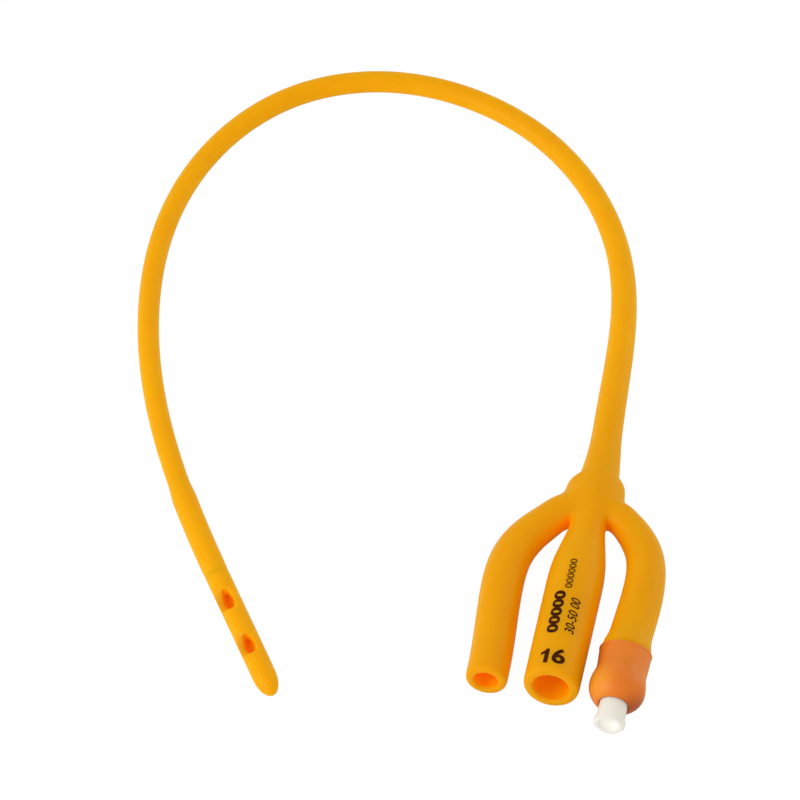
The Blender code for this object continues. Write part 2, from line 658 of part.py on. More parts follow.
def build_valve_body(holder, material):
    """Plastic body: tapered syringe socket with two lugs, a collar and a barbed barrel."""
    edge = MOULD_EDGE
    outline = [
        (0, LUER_RADIUS),
        (0, LUER_OUTER_RADIUS - edge),
        (edge, LUER_OUTER_RADIUS),
        (COLLAR_START, LUER_OUTER_RADIUS),
        (COLLAR_START, COLLAR_RADIUS - edge),
        (COLLAR_START + edge, COLLAR_RADIUS),
        (COLLAR_END, COLLAR_RADIUS),
        (COLLAR_END, BARREL_RADIUS),
    ]
    barb_room = BARREL_END - COLLAR_END
    for k in range(BARB_COUNT):
        back = COLLAR_END + barb_room * (k + 1) / BARB_COUNT - BARB_LENGTH
        outline.append((back, BARREL_RADIUS))
        outline.append((back, BARREL_RADIUS + BARB_HEIGHT))
        outline.append((back + BARB_LENGTH, BARREL_RADIUS - edge if k + 1 == BARB_COUNT else BARREL_RADIUS))
    outline += [
        (BARREL_END, CHAMBER_RADIUS),
        (VALVE_SEAT, CHAMBER_RADIUS),
        (VALVE_SEAT, NECK_BORE_RADIUS),
        (LUER_DEPTH, NECK_BORE_RADIUS),
        (LUER_DEPTH, LUER_RADIUS - LUER_DEPTH * LUER_TAPER),
    ]
    body = turned("valve_body", outline, VALVE_SIDES, material)
    body.parent = holder
    for side in (0, 1):
        middle = side * math.pi
        turns = [middle + LUG_ANGLE * (k / 4 - 0.5) for k in range(5)]
        outer = [(LUG_RADIUS * math.cos(t), LUG_RADIUS * math.sin(t)) for t in turns]
        root = LUER_OUTER_RADIUS - edge * 2
        inner = [(root * math.cos(t), root * math.sin(t)) for t in turns[::-1]]
        lug = prism(f"lug_{side + 1}", outer + inner, edge, edge + LUG_LENGTH)
        lug.parent = holder
        combine(body, lug, "UNION")
    return body


def build_plunger(holder, material):
    """Ribbed stem that a syringe pushes, a flat head and a guide pin inside the spring."""
    head_start = VALVE_SEAT + SEAL_GAP * 2 + SEAL_THICKNESS
    head_end = head_start + HEAD_THICKNESS
    edge = SMALL_EDGE
    outline = [
        (head_start, 0),
        (head_start, HEAD_RADIUS - edge),
        (head_start + edge, HEAD_RADIUS),
        (head_end - edge, HEAD_RADIUS),
        (head_end, HEAD_RADIUS - edge),
        (head_end, GUIDE_RADIUS),
        (head_end + GUIDE_LENGTH - edge, GUIDE_RADIUS),
        (head_end + GUIDE_LENGTH, GUIDE_RADIUS - edge),
        (head_end + GUIDE_LENGTH, 0),
    ]
    plunger = turned("valve_plunger", outline, 20, material)
    plunger.parent = holder
    half = STEM_RIB / 2
    rib = ((STEM_RADIUS, -half), (STEM_RADIUS, half), (half, half))
    cross = [Matrix.Rotation(k * math.pi / 2, 2) @ Vector(corner) for k in range(4) for corner in rib]
    stem = prism("plunger_stem", cross, LUER_DEPTH - STEM_REACH, head_start + HEAD_THICKNESS / 2)
    stem.parent = holder
    combine(plunger, stem, "UNION")
    return plunger


def build_seal(holder, material):
    """Rubber washer between the plunger's head and the valve seat."""
    start = VALVE_SEAT + SEAL_GAP
    end = start + SEAL_THICKNESS
    hole = math.hypot(STEM_RADIUS, STEM_RIB / 2) + SEAL_GAP
    edge = SMALL_EDGE
    outline = [
        (start, hole + edge),
        (start, SEAL_RADIUS - edge),
        (start + edge, SEAL_RADIUS),
        (end - edge, SEAL_RADIUS),
        (end, SEAL_RADIUS - edge),
        (end, hole),
        (start + edge, hole),
    ]
    seal = turned("valve_seal", outline, 20, material)
    seal.parent = holder
    return seal


def build_spring(holder, material):
    """Wire helix from the plunger's head to the retainer."""
    start = VALVE_SEAT + SEAL_GAP * 2 + SEAL_THICKNESS + HEAD_THICKNESS + SEAL_GAP + SPRING_WIRE_RADIUS
    end = BARREL_END - SEAT_GAP - RETAINER_THICKNESS - SEAL_GAP - SPRING_WIRE_RADIUS
    count = SPRING_TURNS * SPRING_STEPS
    rings = []
    for k in range(count + 1):
        turn = 2 * math.pi * k / SPRING_STEPS
        along = start + (end - start) * k / count
        outward = Vector((math.cos(turn), math.sin(turn), 0))
        centre = outward * SPRING_RADIUS + Vector((0, 0, along))
        rings.append([
            centre + (outward * math.cos(a) + Vector((0, 0, 1)) * math.sin(a)) * SPRING_WIRE_RADIUS
            for a in (math.pi / 3 * j for j in range(6))
        ])
    spring = lofted("valve_spring", rings, material)
    spring.parent = holder
    return spring


def build_retainer(holder, material):
    """Slotted ring pressed into the end of the barrel, which the spring stands on."""
    end = BARREL_END - SEAT_GAP
    start = end - RETAINER_THICKNESS
    radius = CHAMBER_RADIUS - RUNNING_GAP
    edge = SMALL_EDGE
    outline = [
        (start, RETAINER_HOLE_RADIUS),
        (start, radius - edge),
        (start + edge, radius),
        (end, radius),
        (end, RETAINER_HOLE_RADIUS),
    ]
    retainer = turned("valve_retainer", outline, 20, material)
    retainer.parent = holder
    half = RETAINER_SLOT / 2
    near, far = RETAINER_HOLE_RADIUS / 2, radius * 0.8
    corners = ((near, -half), (far, -half), (far, half), (near, half))
    for k in range(3):
        turn = Matrix.Rotation(k * 2 * math.pi / 3, 2)
        outline = [turn @ Vector(corner) for corner in corners]
        slot = prism(f"retainer_slot_{k + 1}", outline, start - edge, end + edge)
        slot.parent = holder
        combine(retainer, slot, "DIFFERENCE")
    return retainer


def build_sleeve(holder, material):
    """Orange rubber sleeve: lipped edge on the arm, soft waist, bulge, and a collar on the valve."""
    top = SLEEVE_TOP_Y - VALVE_MOUTH_Y
    end = SLEEVE_END_Y - VALVE_MOUTH_Y
    bulge = SLEEVE_BULGE_Y - VALVE_MOUTH_Y
    arm_clear = SLEEVE_SEAT_RADIUS + SEAT_GAP
    waist = arm_clear + SLEEVE_WALL
    collar_clear = COLLAR_RADIUS + SEAT_GAP
    tube_clear = LUER_OUTER_RADIUS + SEAT_GAP
    outer = [(top, arm_clear + SLEEVE_WALL / 2), (top - SLEEVE_LIP, waist + SLEEVE_LIP)]
    outer.append((top - SLEEVE_LIP_LENGTH, waist + SLEEVE_LIP))
    waist_start = top - SLEEVE_LIP_LENGTH * 1.5
    for k in range(6):
        along = waist_start + (bulge - waist_start) * k / 5
        outer.append((along, waist + (SLEEVE_BULGE_RADIUS - waist) * smooth((k / 5 - 0.25) / 0.75)))
    for k in range(1, 6):
        angle = k / 5 * math.pi / 2
        along = bulge + (end - bulge) * math.sin(angle)
        edge_radius = tube_clear + SLEEVE_WALL
        outer.append((along, edge_radius + (SLEEVE_BULGE_RADIUS - edge_radius) * math.cos(angle)))
    inner = [
        (end, tube_clear),
        (end + SLEEVE_THROAT_LENGTH, tube_clear),
        (COLLAR_START - SEAT_GAP, collar_clear - SLEEVE_WALL),
        (COLLAR_START, collar_clear),
        (COLLAR_END, collar_clear),
        (COLLAR_END, arm_clear),
        (top, arm_clear),
    ]
    sleeve = turned("valve_sleeve", outer + inner, JUNCTION_SIDES, material)
    sleeve.parent = holder
    return sleeve


def build():
    """Clear the scene and make every piece."""
    for old in list(bpy.data.objects):
        bpy.data.objects.remove(old, do_unlink=True)
    latex = plastic("amber_latex", (0.80, 0.36, 0.02), 0.4)
    film = plastic("balloon_latex", (0.82, 0.40, 0.04), 0.38)
    orange = plastic("orange_rubber", (0.82, 0.20, 0.015), 0.5)
    milky = plastic("milky_plastic", (0.86, 0.84, 0.78), 0.25, transmission=0.3)
    white = plastic("white_plastic", (0.85, 0.85, 0.83), 0.35)
    ivory = plastic("ivory_plastic", (0.80, 0.78, 0.70), 0.35)
    black = plastic("black_rubber", (0.03, 0.03, 0.03), 0.6)
    steel = plastic("spring_steel", (0.62, 0.62, 0.62), 0.3, metallic=1.0)
    route = shaft_route()
    build_shaft(route, latex)
    build_balloon(route, film)
    build_junction(latex.copy())
    holder = valve_holder()
    build_valve_body(holder, milky)
    build_plunger(holder, ivory)
    build_seal(holder, black)
    build_spring(holder, steel)
    build_retainer(holder, white)
    build_sleeve(holder, orange)


build()
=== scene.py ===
"""Three-way balloon catheter at rest on a pale table, as a supplier's picture shows it.

The shaft and the moulded junction are amber latex, the check valve is milky plastic and its sleeve is
orange rubber. Lengths are in metres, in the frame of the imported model: the table is z = 0 and the
drainage funnel points along -Y.
"""

import math

import bmesh
import bpy
import numpy as np
from mathutils import Matrix, Vector


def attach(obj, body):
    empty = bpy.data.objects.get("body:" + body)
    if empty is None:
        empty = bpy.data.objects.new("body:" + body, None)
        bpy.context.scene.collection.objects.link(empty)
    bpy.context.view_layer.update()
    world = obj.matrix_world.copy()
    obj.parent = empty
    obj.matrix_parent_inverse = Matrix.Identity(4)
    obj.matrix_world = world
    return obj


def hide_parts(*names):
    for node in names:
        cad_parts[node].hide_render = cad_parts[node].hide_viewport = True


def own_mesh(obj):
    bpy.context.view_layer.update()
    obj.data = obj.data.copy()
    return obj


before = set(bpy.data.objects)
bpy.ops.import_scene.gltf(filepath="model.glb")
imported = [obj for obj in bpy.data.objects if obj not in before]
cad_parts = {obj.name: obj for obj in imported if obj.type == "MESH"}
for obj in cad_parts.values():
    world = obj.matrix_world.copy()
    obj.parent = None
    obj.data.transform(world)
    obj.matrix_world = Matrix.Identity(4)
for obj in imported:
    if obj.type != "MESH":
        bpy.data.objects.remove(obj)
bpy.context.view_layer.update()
MM = 0.001

# Camera, table and light
# The camera looks down at 55 degrees, a little from the right, through so long a lens that there is
# next to no perspective. The table is white, and soft light comes from all round and from the left.
VIEW_AZIMUTH = math.radians(10.96)
VIEW_ELEVATION = math.radians(55)
VIEW_WIDTH = 197.44 * MM
VIEW_MIDDLE = Vector((-3.6, -0.3, 0)) * MM
LENS = 1500
SENSOR = 36

to_camera = Vector((
    math.sin(VIEW_AZIMUTH) * math.cos(VIEW_ELEVATION),
    -math.cos(VIEW_AZIMUTH) * math.cos(VIEW_ELEVATION),
    math.sin(VIEW_ELEVATION),
))
camera_distance = VIEW_WIDTH * LENS / SENSOR
bpy.ops.object.camera_add(
    location=VIEW_MIDDLE + to_camera * camera_distance,
    rotation=(-to_camera).to_track_quat("-Z", "Y").to_euler(),
)
camera = bpy.context.object
camera.name = "camera"
camera.data.lens = LENS
camera.data.sensor_width = SENSOR
camera.data.clip_end = camera_distance * 2
bpy.context.scene.camera = camera
bpy.context.scene.view_settings.view_transform = "Standard"


def shader_nodes(name):
    """New material with its node tree, its Principled shader and a maker of nodes."""
    material = bpy.data.materials.new(name)
    material.use_nodes = True
    tree = material.node_tree

    def node(kind, **inputs):
        made = tree.nodes.new(kind)
        for key, value in inputs.items():
            made.inputs[key.replace("_", " ")].default_value = value
        return made

    return material, tree, tree.nodes["Principled BSDF"], node


SKY_LEVEL = 0.74
TABLE_WHITENESS = 0.95
SHOWN_WHITE = 1.03


def white_for_camera(tree, node, surface, share, output):
    """Show plain white to the camera, mixed over a surface that still takes light and shadow."""
    path = node("ShaderNodeLightPath")
    seen = node("ShaderNodeMath")
    seen.operation = "MAXIMUM"
    tree.links.new(path.outputs["Is Camera Ray"], seen.inputs[0])
    tree.links.new(path.outputs["Is Transmission Ray"], seen.inputs[1])
    amount = node("ShaderNodeMath")
    amount.operation = "MULTIPLY"
    amount.inputs[1].default_value = share
    tree.links.new(seen.outputs[0], amount.inputs[0])
    mix = node("ShaderNodeMixShader")
    tree.links.new(amount.outputs[0], mix.inputs[0])
    tree.links.new(surface, mix.inputs[1])
    white = tree.nodes.new("ShaderNodeEmission")
    white.inputs["Strength"].default_value = SHOWN_WHITE
    tree.links.new(white.outputs[0], mix.inputs[2])
    tree.links.new(mix.outputs[0], output.inputs["Surface"])


bpy.ops.mesh.primitive_plane_add(size=4)
table = bpy.context.object
table.name = "table"
material, tree, principled, node = shader_nodes("white_table")
principled.inputs["Base Color"].default_value = (0.9, 0.9, 0.9, 1)
principled.inputs["Roughness"].default_value = 0.8
white_for_camera(
    tree, node, principled.outputs[0], TABLE_WHITENESS, tree.nodes["Material Output"])
table.data.materials.append(material)

world = bpy.data.worlds.new("white_room")
world.use_nodes = True
bpy.context.scene.world = world
tree = world.node_tree
shown = tree.nodes["Background"].outputs[0]
tree.nodes["Background"].inputs["Color"].default_value = (1, 1, 1, 1)
tree.nodes["Background"].inputs["Strength"].default_value = SKY_LEVEL
path = tree.nodes.new("ShaderNodeLightPath")
clear = tree.nodes.new("ShaderNodeBackground")
clear.inputs["Color"].default_value = (1, 1, 1, 1)
clear.inputs["Strength"].default_value = SHOWN_WHITE
mix = tree.nodes.new("ShaderNodeMixShader")
tree.links.new(path.outputs["Is Camera Ray"], mix.inputs[0])
tree.links.new(shown, mix.inputs[1])
tree.links.new(clear.outputs[0], mix.inputs[2])
tree.links.new(mix.outputs[0], tree.nodes["World Output"].inputs["Surface"])

# Softboxes: name, place, size and power
SOFTBOXES = [
    ("key_softbox", Vector((-0.85, -0.78, 0.62)), 0.8, 5.9),
    ("rim_softbox", Vector((0.95, 0.75, 0.3)), 0.6, 1.6),
]
for name, place, size, power in SOFTBOXES:
    bpy.ops.object.light_add(
        type="AREA", location=place, rotation=(-place).to_track_quat("-Z", "Y").to_euler())
    softbox = bpy.context.object
    softbox.name = name
    softbox.data.size = size
    softbox.data.energy = power

# Shaft
# An extruded and dipped latex tube, 16 thirds of a millimetre across, with a thicker closed tip that
# has two skived drain eyes. It widens towards the junction, where its end sits in a socket.
SHAFT_RADIUS = 16 / 6 * MM
TIP_RADIUS = 3.0 * MM
TIP_DOME = 6.2 * MM
TAPER_LENGTH = 160 * MM
TAPER_GROWTH = 1.05 * MM
FLARE_LENGTH = 14 * MM
FLARE_GROWTH = 1.12 * MM
RISE_LENGTH = 105 * MM
BALLOON_START = 38 * MM
BALLOON_LENGTH = 29 * MM
BALLOON_RADIUS = 3.06 * MM
FUNNEL_X = 50.0 * MM
FUNNEL_Z = 7.0 * MM
HUB_TOP_Y = -18.2 * MM
SOCKET_DEPTH = 5.6 * MM
SOCKET_GAP = 0.3 * MM
SHAFT_SIDES = 56

# Centre line of the shaft on the table, from its tip to the junction, in millimetres
BEND = [
    (-17.0, -94.9), (-30.2, -73.8), (-44.1, -51.4), (-56.6, -27.8), (-65.1, -5.8), (-70.2, 19.2),
    (-69.6, 43.2), (-62.0, 65.4), (-46.3, 83.4), (-25.6, 91.8), (-3.2, 90.8), (18.4, 81.0),
    (35.6, 62.6), (44.6, 41.2), (48.0, 17.2), (49.2, -2.8),
]

# Eyes: the way they face, how far from the tip each one is, the skived hollow (half length, half
# width, depth) with its sharp lip and long fade, and the hole in it (length, width, depth)
EYE_FACING = Vector((-0.02, -0.54, 0.85))
HOLLOW_FACING = Vector((-0.42, -0.40, 0.82))
EYE_PLACES = [14.9 * MM, 29.1 * MM]
EYE_HOLLOW = (3.5 * MM, 2.95 * MM, 1.8 * MM)
HOLLOW_AHEAD = 0.5 * MM
LIP_SLANT = 0.25
LIP_STEEPNESS = 0.16
LIP_EASE = 0.5
FADE_LENGTH = 1.1
HOLLOW_ROUNDNESS = 1.25
EYE_HOLE = (5.9 * MM, 3.0 * MM, 3.2 * MM)
RINSE_EYE_PLACE = 24 * MM
RINSE_EYE = (4.0 * MM, 1.8 * MM, 1.6 * MM)

# Lumens: radius, offsets sideways and upwards, and distance from the tip at which each one ends
LUMENS = {
    "drain": (0.95 * MM, 0.0, 0.1 * MM, 11 * MM),
    "irrigation": (0.55 * MM, 0.8 * MM, -1.4 * MM, 21.5 * MM),
    "inflation": (0.35 * MM, -0.85 * MM, -1.4 * MM, 50.5 * MM),
}


def smooth(value):
    """Ease from 0 to 1."""
    value = min(max(value, 0.0), 1.0)
    return value * value * (3 - 2 * value)


class Route:
    """Smooth curve through chosen points, read by its length from the first one."""

    def __init__(self, points, height=None, samples=1600):
        knots = np.array([tuple(point) for point in points])
        spans = np.linalg.norm(np.diff(knots, axis=0), axis=1)
        count = len(knots)
        matrix = np.zeros((count, count))
        right = np.zeros((count, 3))
        for i in range(1, count - 1):
            before, after = 1 / spans[i - 1], 1 / spans[i]
            matrix[i, i - 1:i + 2] = before, 2 * (before + after), after
            right[i] = 3 * (
                (knots[i] - knots[i - 1]) * before ** 2 + (knots[i + 1] - knots[i]) * after ** 2
            )
        matrix[0, :2] = 2, 1
        right[0] = 3 * (knots[1] - knots[0]) / spans[0]
        matrix[-1, -1] = 1
        right[-1] = 0, -1, 0
        slopes = np.linalg.solve(matrix, right)
        starts = np.concatenate(([0], np.cumsum(spans)))
        where = np.linspace(0, starts[-1], samples)
        piece = np.clip(np.searchsorted(starts, where, side="right") - 1, 0, count - 2)
        span = spans[piece][:, None]
        t = (where - starts[piece])[:, None] / span
        self.places = (
            (2 * t ** 3 - 3 * t ** 2 + 1) * knots[piece]
            + (t ** 3 - 2 * t ** 2 + t) * span * slopes[piece]
            + (3 * t ** 2 - 2 * t ** 3) * knots[piece + 1]
            + (t ** 3 - t ** 2) * span * slopes[piece + 1]
        )
        self.measure()
        if height:
            self.places[:, 2] = [height(distance, self.length) for distance in self.lengths]
            self.measure()

    def measure(self):
        steps = np.linalg.norm(np.diff(self.places, axis=0), axis=1)
        self.lengths = np.concatenate(([0], np.cumsum(steps)))
        self.length = float(self.lengths[-1])

    def place(self, distance):
        """Point at a distance; past the last point the route goes straight on."""
        inside = min(max(distance, 0.0), self.length)
        point = Vector([float(np.interp(inside, self.lengths, self.places[:, k])) for k in range(3)])
        return point + self.way(inside) * (distance - inside)

    def way(self, distance):
        """Direction of travel at a distance."""
        reach = self.length / 400
        low = min(max(distance - reach, 0.0), self.length - 2 * reach)
        first, second = (
            Vector([float(np.interp(at, self.lengths, self.places[:, k])) for k in range(3)])
            for at in (low, low + 2 * reach)
        )
        return (second - first).normalized()

    def axes(self, distance):
        """Sideways and upward directions across the route."""
        way = self.way(distance)
        side = way.cross(Vector((0, 0, 1))).normalized()
        return side, side.cross(way).normalized()


def stations(start, end, step):
    """Evenly spread distances from start to end, about a step apart."""
    count = max(round((end - start) / step), 1)
    return [start + (end - start) * k / count for k in range(count + 1)]


def plain_radius(distance, length):
    """Outer radius of the shaft behind its tip."""
    taper = max((distance - length + TAPER_LENGTH) / (TAPER_LENGTH - FLARE_LENGTH), 0)
    flare = max((distance - length + FLARE_LENGTH) / FLARE_LENGTH, 0)
    return SHAFT_RADIUS + TAPER_GROWTH * min(taper, 1) ** 2.3 + FLARE_GROWTH * min(flare, 1) ** 1.6


def resting_height(distance, length):
    """Height of the shaft's centre: it lies on the table and rises to the junction."""
    past_balloon = smooth((distance - BALLOON_START - BALLOON_LENGTH) / BALLOON_LENGTH)
    rest = plain_radius(distance, length) + (BALLOON_RADIUS - SHAFT_RADIUS) * (1 - past_balloon)
    rise = smooth((distance - length + RISE_LENGTH) / RISE_LENGTH)
    return rest + (FUNNEL_Z - rest) * rise


def join_rings(name, bm, rings, capped=True):
    """Skin rings of points into a closed piece, capped or running back into the first ring."""
    for low, high in zip(rings, rings[1:] if capped else rings[1:] + rings[:1]):
        for k in range(len(low)):
            after = (k + 1) % len(low)
            bm.faces.new((low[k], low[after], high[after], high[k]))
    if capped:
        for ring in (rings[0], rings[-1]):
            bm.faces.new(ring)
    bmesh.ops.recalc_face_normals(bm, faces=bm.faces[:])
    mesh = bpy.data.meshes.new(name)
    bm.to_mesh(mesh)
    bm.free()
    piece = bpy.data.objects.new(name, mesh)
    bpy.context.collection.objects.link(piece)
    return piece


def tube(name, route, along, radius_at, sides, offset_at=lambda distance: (0.0, 0.0)):
    """Closed tube round a route, with a radius that depends on the distance and the turn."""
    bm = bmesh.new()
    rows = []
    for distance in along:
        side, up = route.axes(distance)
        across, above = offset_at(distance)
        centre = route.place(distance) + side * across + up * above
        row = []
        for k in range(sides):
            turn = 2 * math.pi * k / sides
            radius = radius_at(distance, turn)
            row.append(bm.verts.new(centre + (side * math.cos(turn) + up * math.sin(turn)) * radius))
        rows.append(row)
    return join_rings(name, bm, rows)


def only(piece):
    """Select one piece alone and make it active."""
    bpy.ops.object.select_all(action="DESELECT")
    piece.select_set(True)
    bpy.context.view_layer.objects.active = piece


def apply_modifier(piece, kind, **settings):
    """Add a modifier, set it and apply it."""
    modifier = piece.modifiers.new(kind.lower(), kind)
    for key, value in settings.items():
        setattr(modifier, key, value)
    only(piece)
    bpy.ops.object.modifier_apply(modifier=modifier.name)


def combine(piece, operation, *tools):
    """Join shapes to a piece, or take them away from it, and delete them."""
    for tool in tools:
        apply_modifier(piece, "BOOLEAN", operation=operation, object=tool, solver="EXACT")
        bpy.data.objects.remove(tool, do_unlink=True)


def finish_piece(piece, material, slot, *nodes, angle=35, body="catheter"):
    """Smooth a piece, give it its material, and let it ride in place of CAD nodes."""
    only(piece)
    bpy.ops.object.shade_smooth_by_angle(angle=math.radians(angle))
    piece.data.materials.clear()
    piece.data.materials.append(material)
    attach(piece, body)
    if nodes:
        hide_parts(*nodes)


def scoop(name, size, route, distance, facing, radius):
    """Rounded cutter (length, width, depth) on the side of a route that it faces."""
    way = route.way(distance)
    length, width, depth = size
    turn = Matrix((way, facing.cross(way), facing)).transposed().to_4x4()
    bpy.ops.mesh.primitive_uv_sphere_add(segments=48, ring_count=24, radius=1)
    cutter = bpy.context.object
    cutter.name = name
    cutter.matrix_world = (
        Matrix.Translation(route.place(distance) + facing * radius) @ turn
        @ Matrix.Diagonal((length / 2, width / 2, depth, 1))
    )
    bpy.ops.object.transform_apply(location=True, rotation=True, scale=True)
    return cutter


def two_tones(tree, node, scale, detail, low, high, low_end=0.35, high_end=0.65):
    """Cloudy drift between two tones all through a piece."""
    place = node("ShaderNodeTexCoord")
    cloud = node("ShaderNodeTexNoise", Scale=scale, Detail=detail)
    tree.links.new(place.outputs["Object"], cloud.inputs["Vector"])
    ramp = node("ShaderNodeValToRGB")
    for element, position, tone in zip(ramp.color_ramp.elements, (low_end, high_end), (low, high)):
        element.position = position
        element.color = (*tone, 1)
    tree.links.new(cloud.outputs["Fac"], ramp.inputs["Fac"])
    return place, cloud, ramp.outputs["Color"]


def drift_tone_or_painted_light_near(tree, node, place, colour_output, middle, near, far, tone):
    """Drift to another tone towards one place; it serves a part's own tone and painted shade, glow and
    highlights.
    """
    away = node("ShaderNodeVectorMath")
    away.operation = "DISTANCE"
    away.inputs[1].default_value = middle
    tree.links.new(place.outputs["Object"], away.inputs[0])
    share = node("ShaderNodeMapRange", From_Min=near, From_Max=far, To_Min=1.0, To_Max=0.0)
    share.interpolation_type = "SMOOTHSTEP"
    tree.links.new(away.outputs["Value"], share.inputs["Value"])
    mix = node("ShaderNodeMix")
    mix.data_type = "RGBA"
    tree.links.new(share.outputs["Result"], mix.inputs[0])
    tree.links.new(colour_output, mix.inputs[6])
    mix.inputs[7].default_value = (*tone, 1)
    return mix.outputs[2]


def paint_shade_and_glow_in_hollows(tree, node, principled, colour_output, hollow, glow, reach, own=True, open_at=0.9):
    """Paint shade and glow into hollows: where ambient occlusion finds them, the colour turns to the
    hollow tone, and emission in that tone lights them as light does that soaks through.
    """
    openness = node("ShaderNodeAmbientOcclusion", Distance=reach)
    openness.samples = 8
    openness.only_local = own
    # Painted shade: the hollow tone is mixed in where ambient occlusion finds a hollow
    shade = node("ShaderNodeMapRange", From_Min=0.15, From_Max=open_at, To_Min=1.0, To_Max=0.0)
    tree.links.new(openness.outputs["AO"], shade.inputs["Value"])
    mix = node("ShaderNodeMix")
    mix.data_type = "RGBA"
    tree.links.new(shade.outputs["Result"], mix.inputs[0])
    tree.links.new(colour_output, mix.inputs[6])
    mix.inputs[7].default_value = (*hollow, 1)
    tree.links.new(mix.outputs[2], principled.inputs["Base Color"])
    # Painted glow: emission in the hollow tone, strongest in the deepest hollows
    principled.inputs["Emission Color"].default_value = (*hollow, 1)
    lift = node("ShaderNodeMath")
    lift.operation = "MULTIPLY"
    lift.inputs[1].default_value = glow
    tree.links.new(shade.outputs["Result"], lift.inputs[0])
    tree.links.new(lift.outputs[0], principled.inputs["Emission Strength"])


def latex(
        name, colour, deep, hollow, roughness, soak, glow=0.15, reach=0.008, gloss_level=0.08, own=True,
        open_at=0.9, tone_and_painted_light_drifts=()):
    """Dipped latex: cloudy amber, a faint grain in its gloss, light that soaks in, painted shade and glow
    in its hollows, and tones and painted light drifting near given places.
    """
    material, tree, principled, node = shader_nodes(name)
    place, _, body_colour = two_tones(tree, node, 90.0, 3.0, deep, colour, 0.32, 0.68)
    for middle, near, far, tone in tone_and_painted_light_drifts:
        body_colour = drift_tone_or_painted_light_near(tree, node, place, body_colour, middle, near, far, tone)
    paint_shade_and_glow_in_hollows(tree, node, principled, body_colour, hollow, glow, reach, own, open_at)
    grain = node("ShaderNodeTexNoise", Scale=1600.0, Detail=2.0)
    tree.links.new(place.outputs["Object"], grain.inputs["Vector"])
    gloss = node("ShaderNodeMapRange", To_Min=roughness - 0.05, To_Max=roughness + 0.05)
    tree.links.new(grain.outputs["Fac"], gloss.inputs["Value"])
    tree.links.new(gloss.outputs["Result"], principled.inputs["Roughness"])
    bump = node("ShaderNodeBump", Strength=0.06, Distance=0.00005)
    tree.links.new(grain.outputs["Fac"], bump.inputs["Height"])
    tree.links.new(bump.outputs["Normal"], principled.inputs["Normal"])
    weight, green_share, depth = soak
    principled.inputs["Specular IOR Level"].default_value = gloss_level
    principled.inputs["Subsurface Weight"].default_value = weight
    principled.inputs["Subsurface Radius"].default_value = (1.0, green_share, 0.1)
    principled.inputs["Subsurface Scale"].default_value = depth
    return material


AMBER = (0.92, 0.445, 0.0)
DEEP_AMBER = (0.9, 0.415, 0.0)
# Painted glow and shade in the hollows of the balloon and the junction
GLOWING_AMBER = (0.97, 0.29, 0.0)
# Painted glow and shade in the shaft's bores and eye holes
BORE_SHADE_AND_GLOW_AMBER = (0.9, 0.24, 0.0)
HUB_AMBER = (0.83, 0.38, 0.0)
# Painted shade on the left wall of each skived hollow
HOLLOW_WALL_SHADE_AMBER = (0.72, 0.33, 0.0)
# Painted red glow round each eye hole
EYE_HOLE_GLOW_AMBER = (0.82, 0.135, 0.0)
HUB_BLEND = 42 * MM
# Place of the painted shade on each hollow's left wall, and the fades of it and of the painted glow round
# each hole
WALL_AHEAD = 0.4 * MM
WALL_ABOVE = 1.6 * MM
WALL_ASIDE = 2.3 * MM
WALL_SHADE_BLEND = (0.8 * MM, 4.2 * MM)
EYE_GLOW_BLEND = (1.1 * MM, 2.1 * MM)

# Share of the light that soaks in, how far green goes against red, and how deep it goes
SHAFT_SOAK = (0.8, 0.35, 0.0024)

flat_points = [Vector((x * MM, y * MM, 0)) for x, y in BEND] + [Vector((FUNNEL_X, HUB_TOP_Y, 0))]
shaft_line = Route(flat_points, height=resting_height)
hollow_turns = []
for distance in EYE_PLACES:
    side, up = shaft_line.axes(distance)
    hollow_turns.append(math.atan2(HOLLOW_FACING.dot(up), HOLLOW_FACING.dot(side)))


def shaft_radius(distance, turn):
    """Domed tip with a skived hollow round each eye, then the plain tapering tube."""
    if distance > BALLOON_START:
        return plain_radius(min(distance, shaft_line.length), shaft_line.length)
    radius = TIP_RADIUS
    if distance < TIP_DOME:
        radius *= math.sqrt(max(1 - (1 - distance / TIP_DOME) ** 2, 0))
    half_length, half_width, depth = EYE_HOLLOW
    for place, facing_turn in zip(EYE_PLACES, hollow_turns):
        along = (distance - place - HOLLOW_AHEAD) / half_length
        around = math.remainder(turn - facing_turn, 2 * math.pi) * TIP_RADIUS / half_width
        if abs(along) < 1 and abs(around) < 1:
            steepness = LIP_STEEPNESS + LIP_EASE * max(-around, 0)
            lip = smooth((along + 1 - LIP_SLANT * around) / steepness)
            fade = smooth((1 - along) / FADE_LENGTH)
            radius -= depth * lip * fade * (1 - around ** 2) ** HOLLOW_ROUNDNESS
    return radius


dome = [TIP_DOME * (1 - math.cos(math.radians(angle))) for angle in range(4, 90, 6)]
shaft_stations = dome + stations(TIP_DOME, BALLOON_START, 0.2 * MM)
shaft_stations += stations(BALLOON_START + 0.02 * MM, shaft_line.length, 1.5 * MM)
shaft_stations.append(shaft_line.length + SOCKET_DEPTH - SOCKET_GAP)
shaft = tube("latex_shaft", shaft_line, shaft_stations, shaft_radius, SHAFT_SIDES)
tools = []
for name, (radius, across, above, start) in LUMENS.items():
    def scale_at(distance):
        return plain_radius(min(distance, shaft_line.length), shaft_line.length) / SHAFT_RADIUS

    tools.append(tube(
        f"{name}_lumen", shaft_line, stations(start, shaft_line.length + SOCKET_DEPTH, 4 * MM),
        lambda distance, turn: radius * scale_at(distance), 20,
        lambda distance: (across * scale_at(distance), above * scale_at(distance))))
for number, distance in enumerate(EYE_PLACES):
    way = shaft_line.way(distance)
    facing = (EYE_FACING - way * EYE_FACING.dot(way)).normalized()
    tools.append(scoop(f"eye_hole_{number}", EYE_HOLE, shaft_line, distance, facing, TIP_RADIUS))
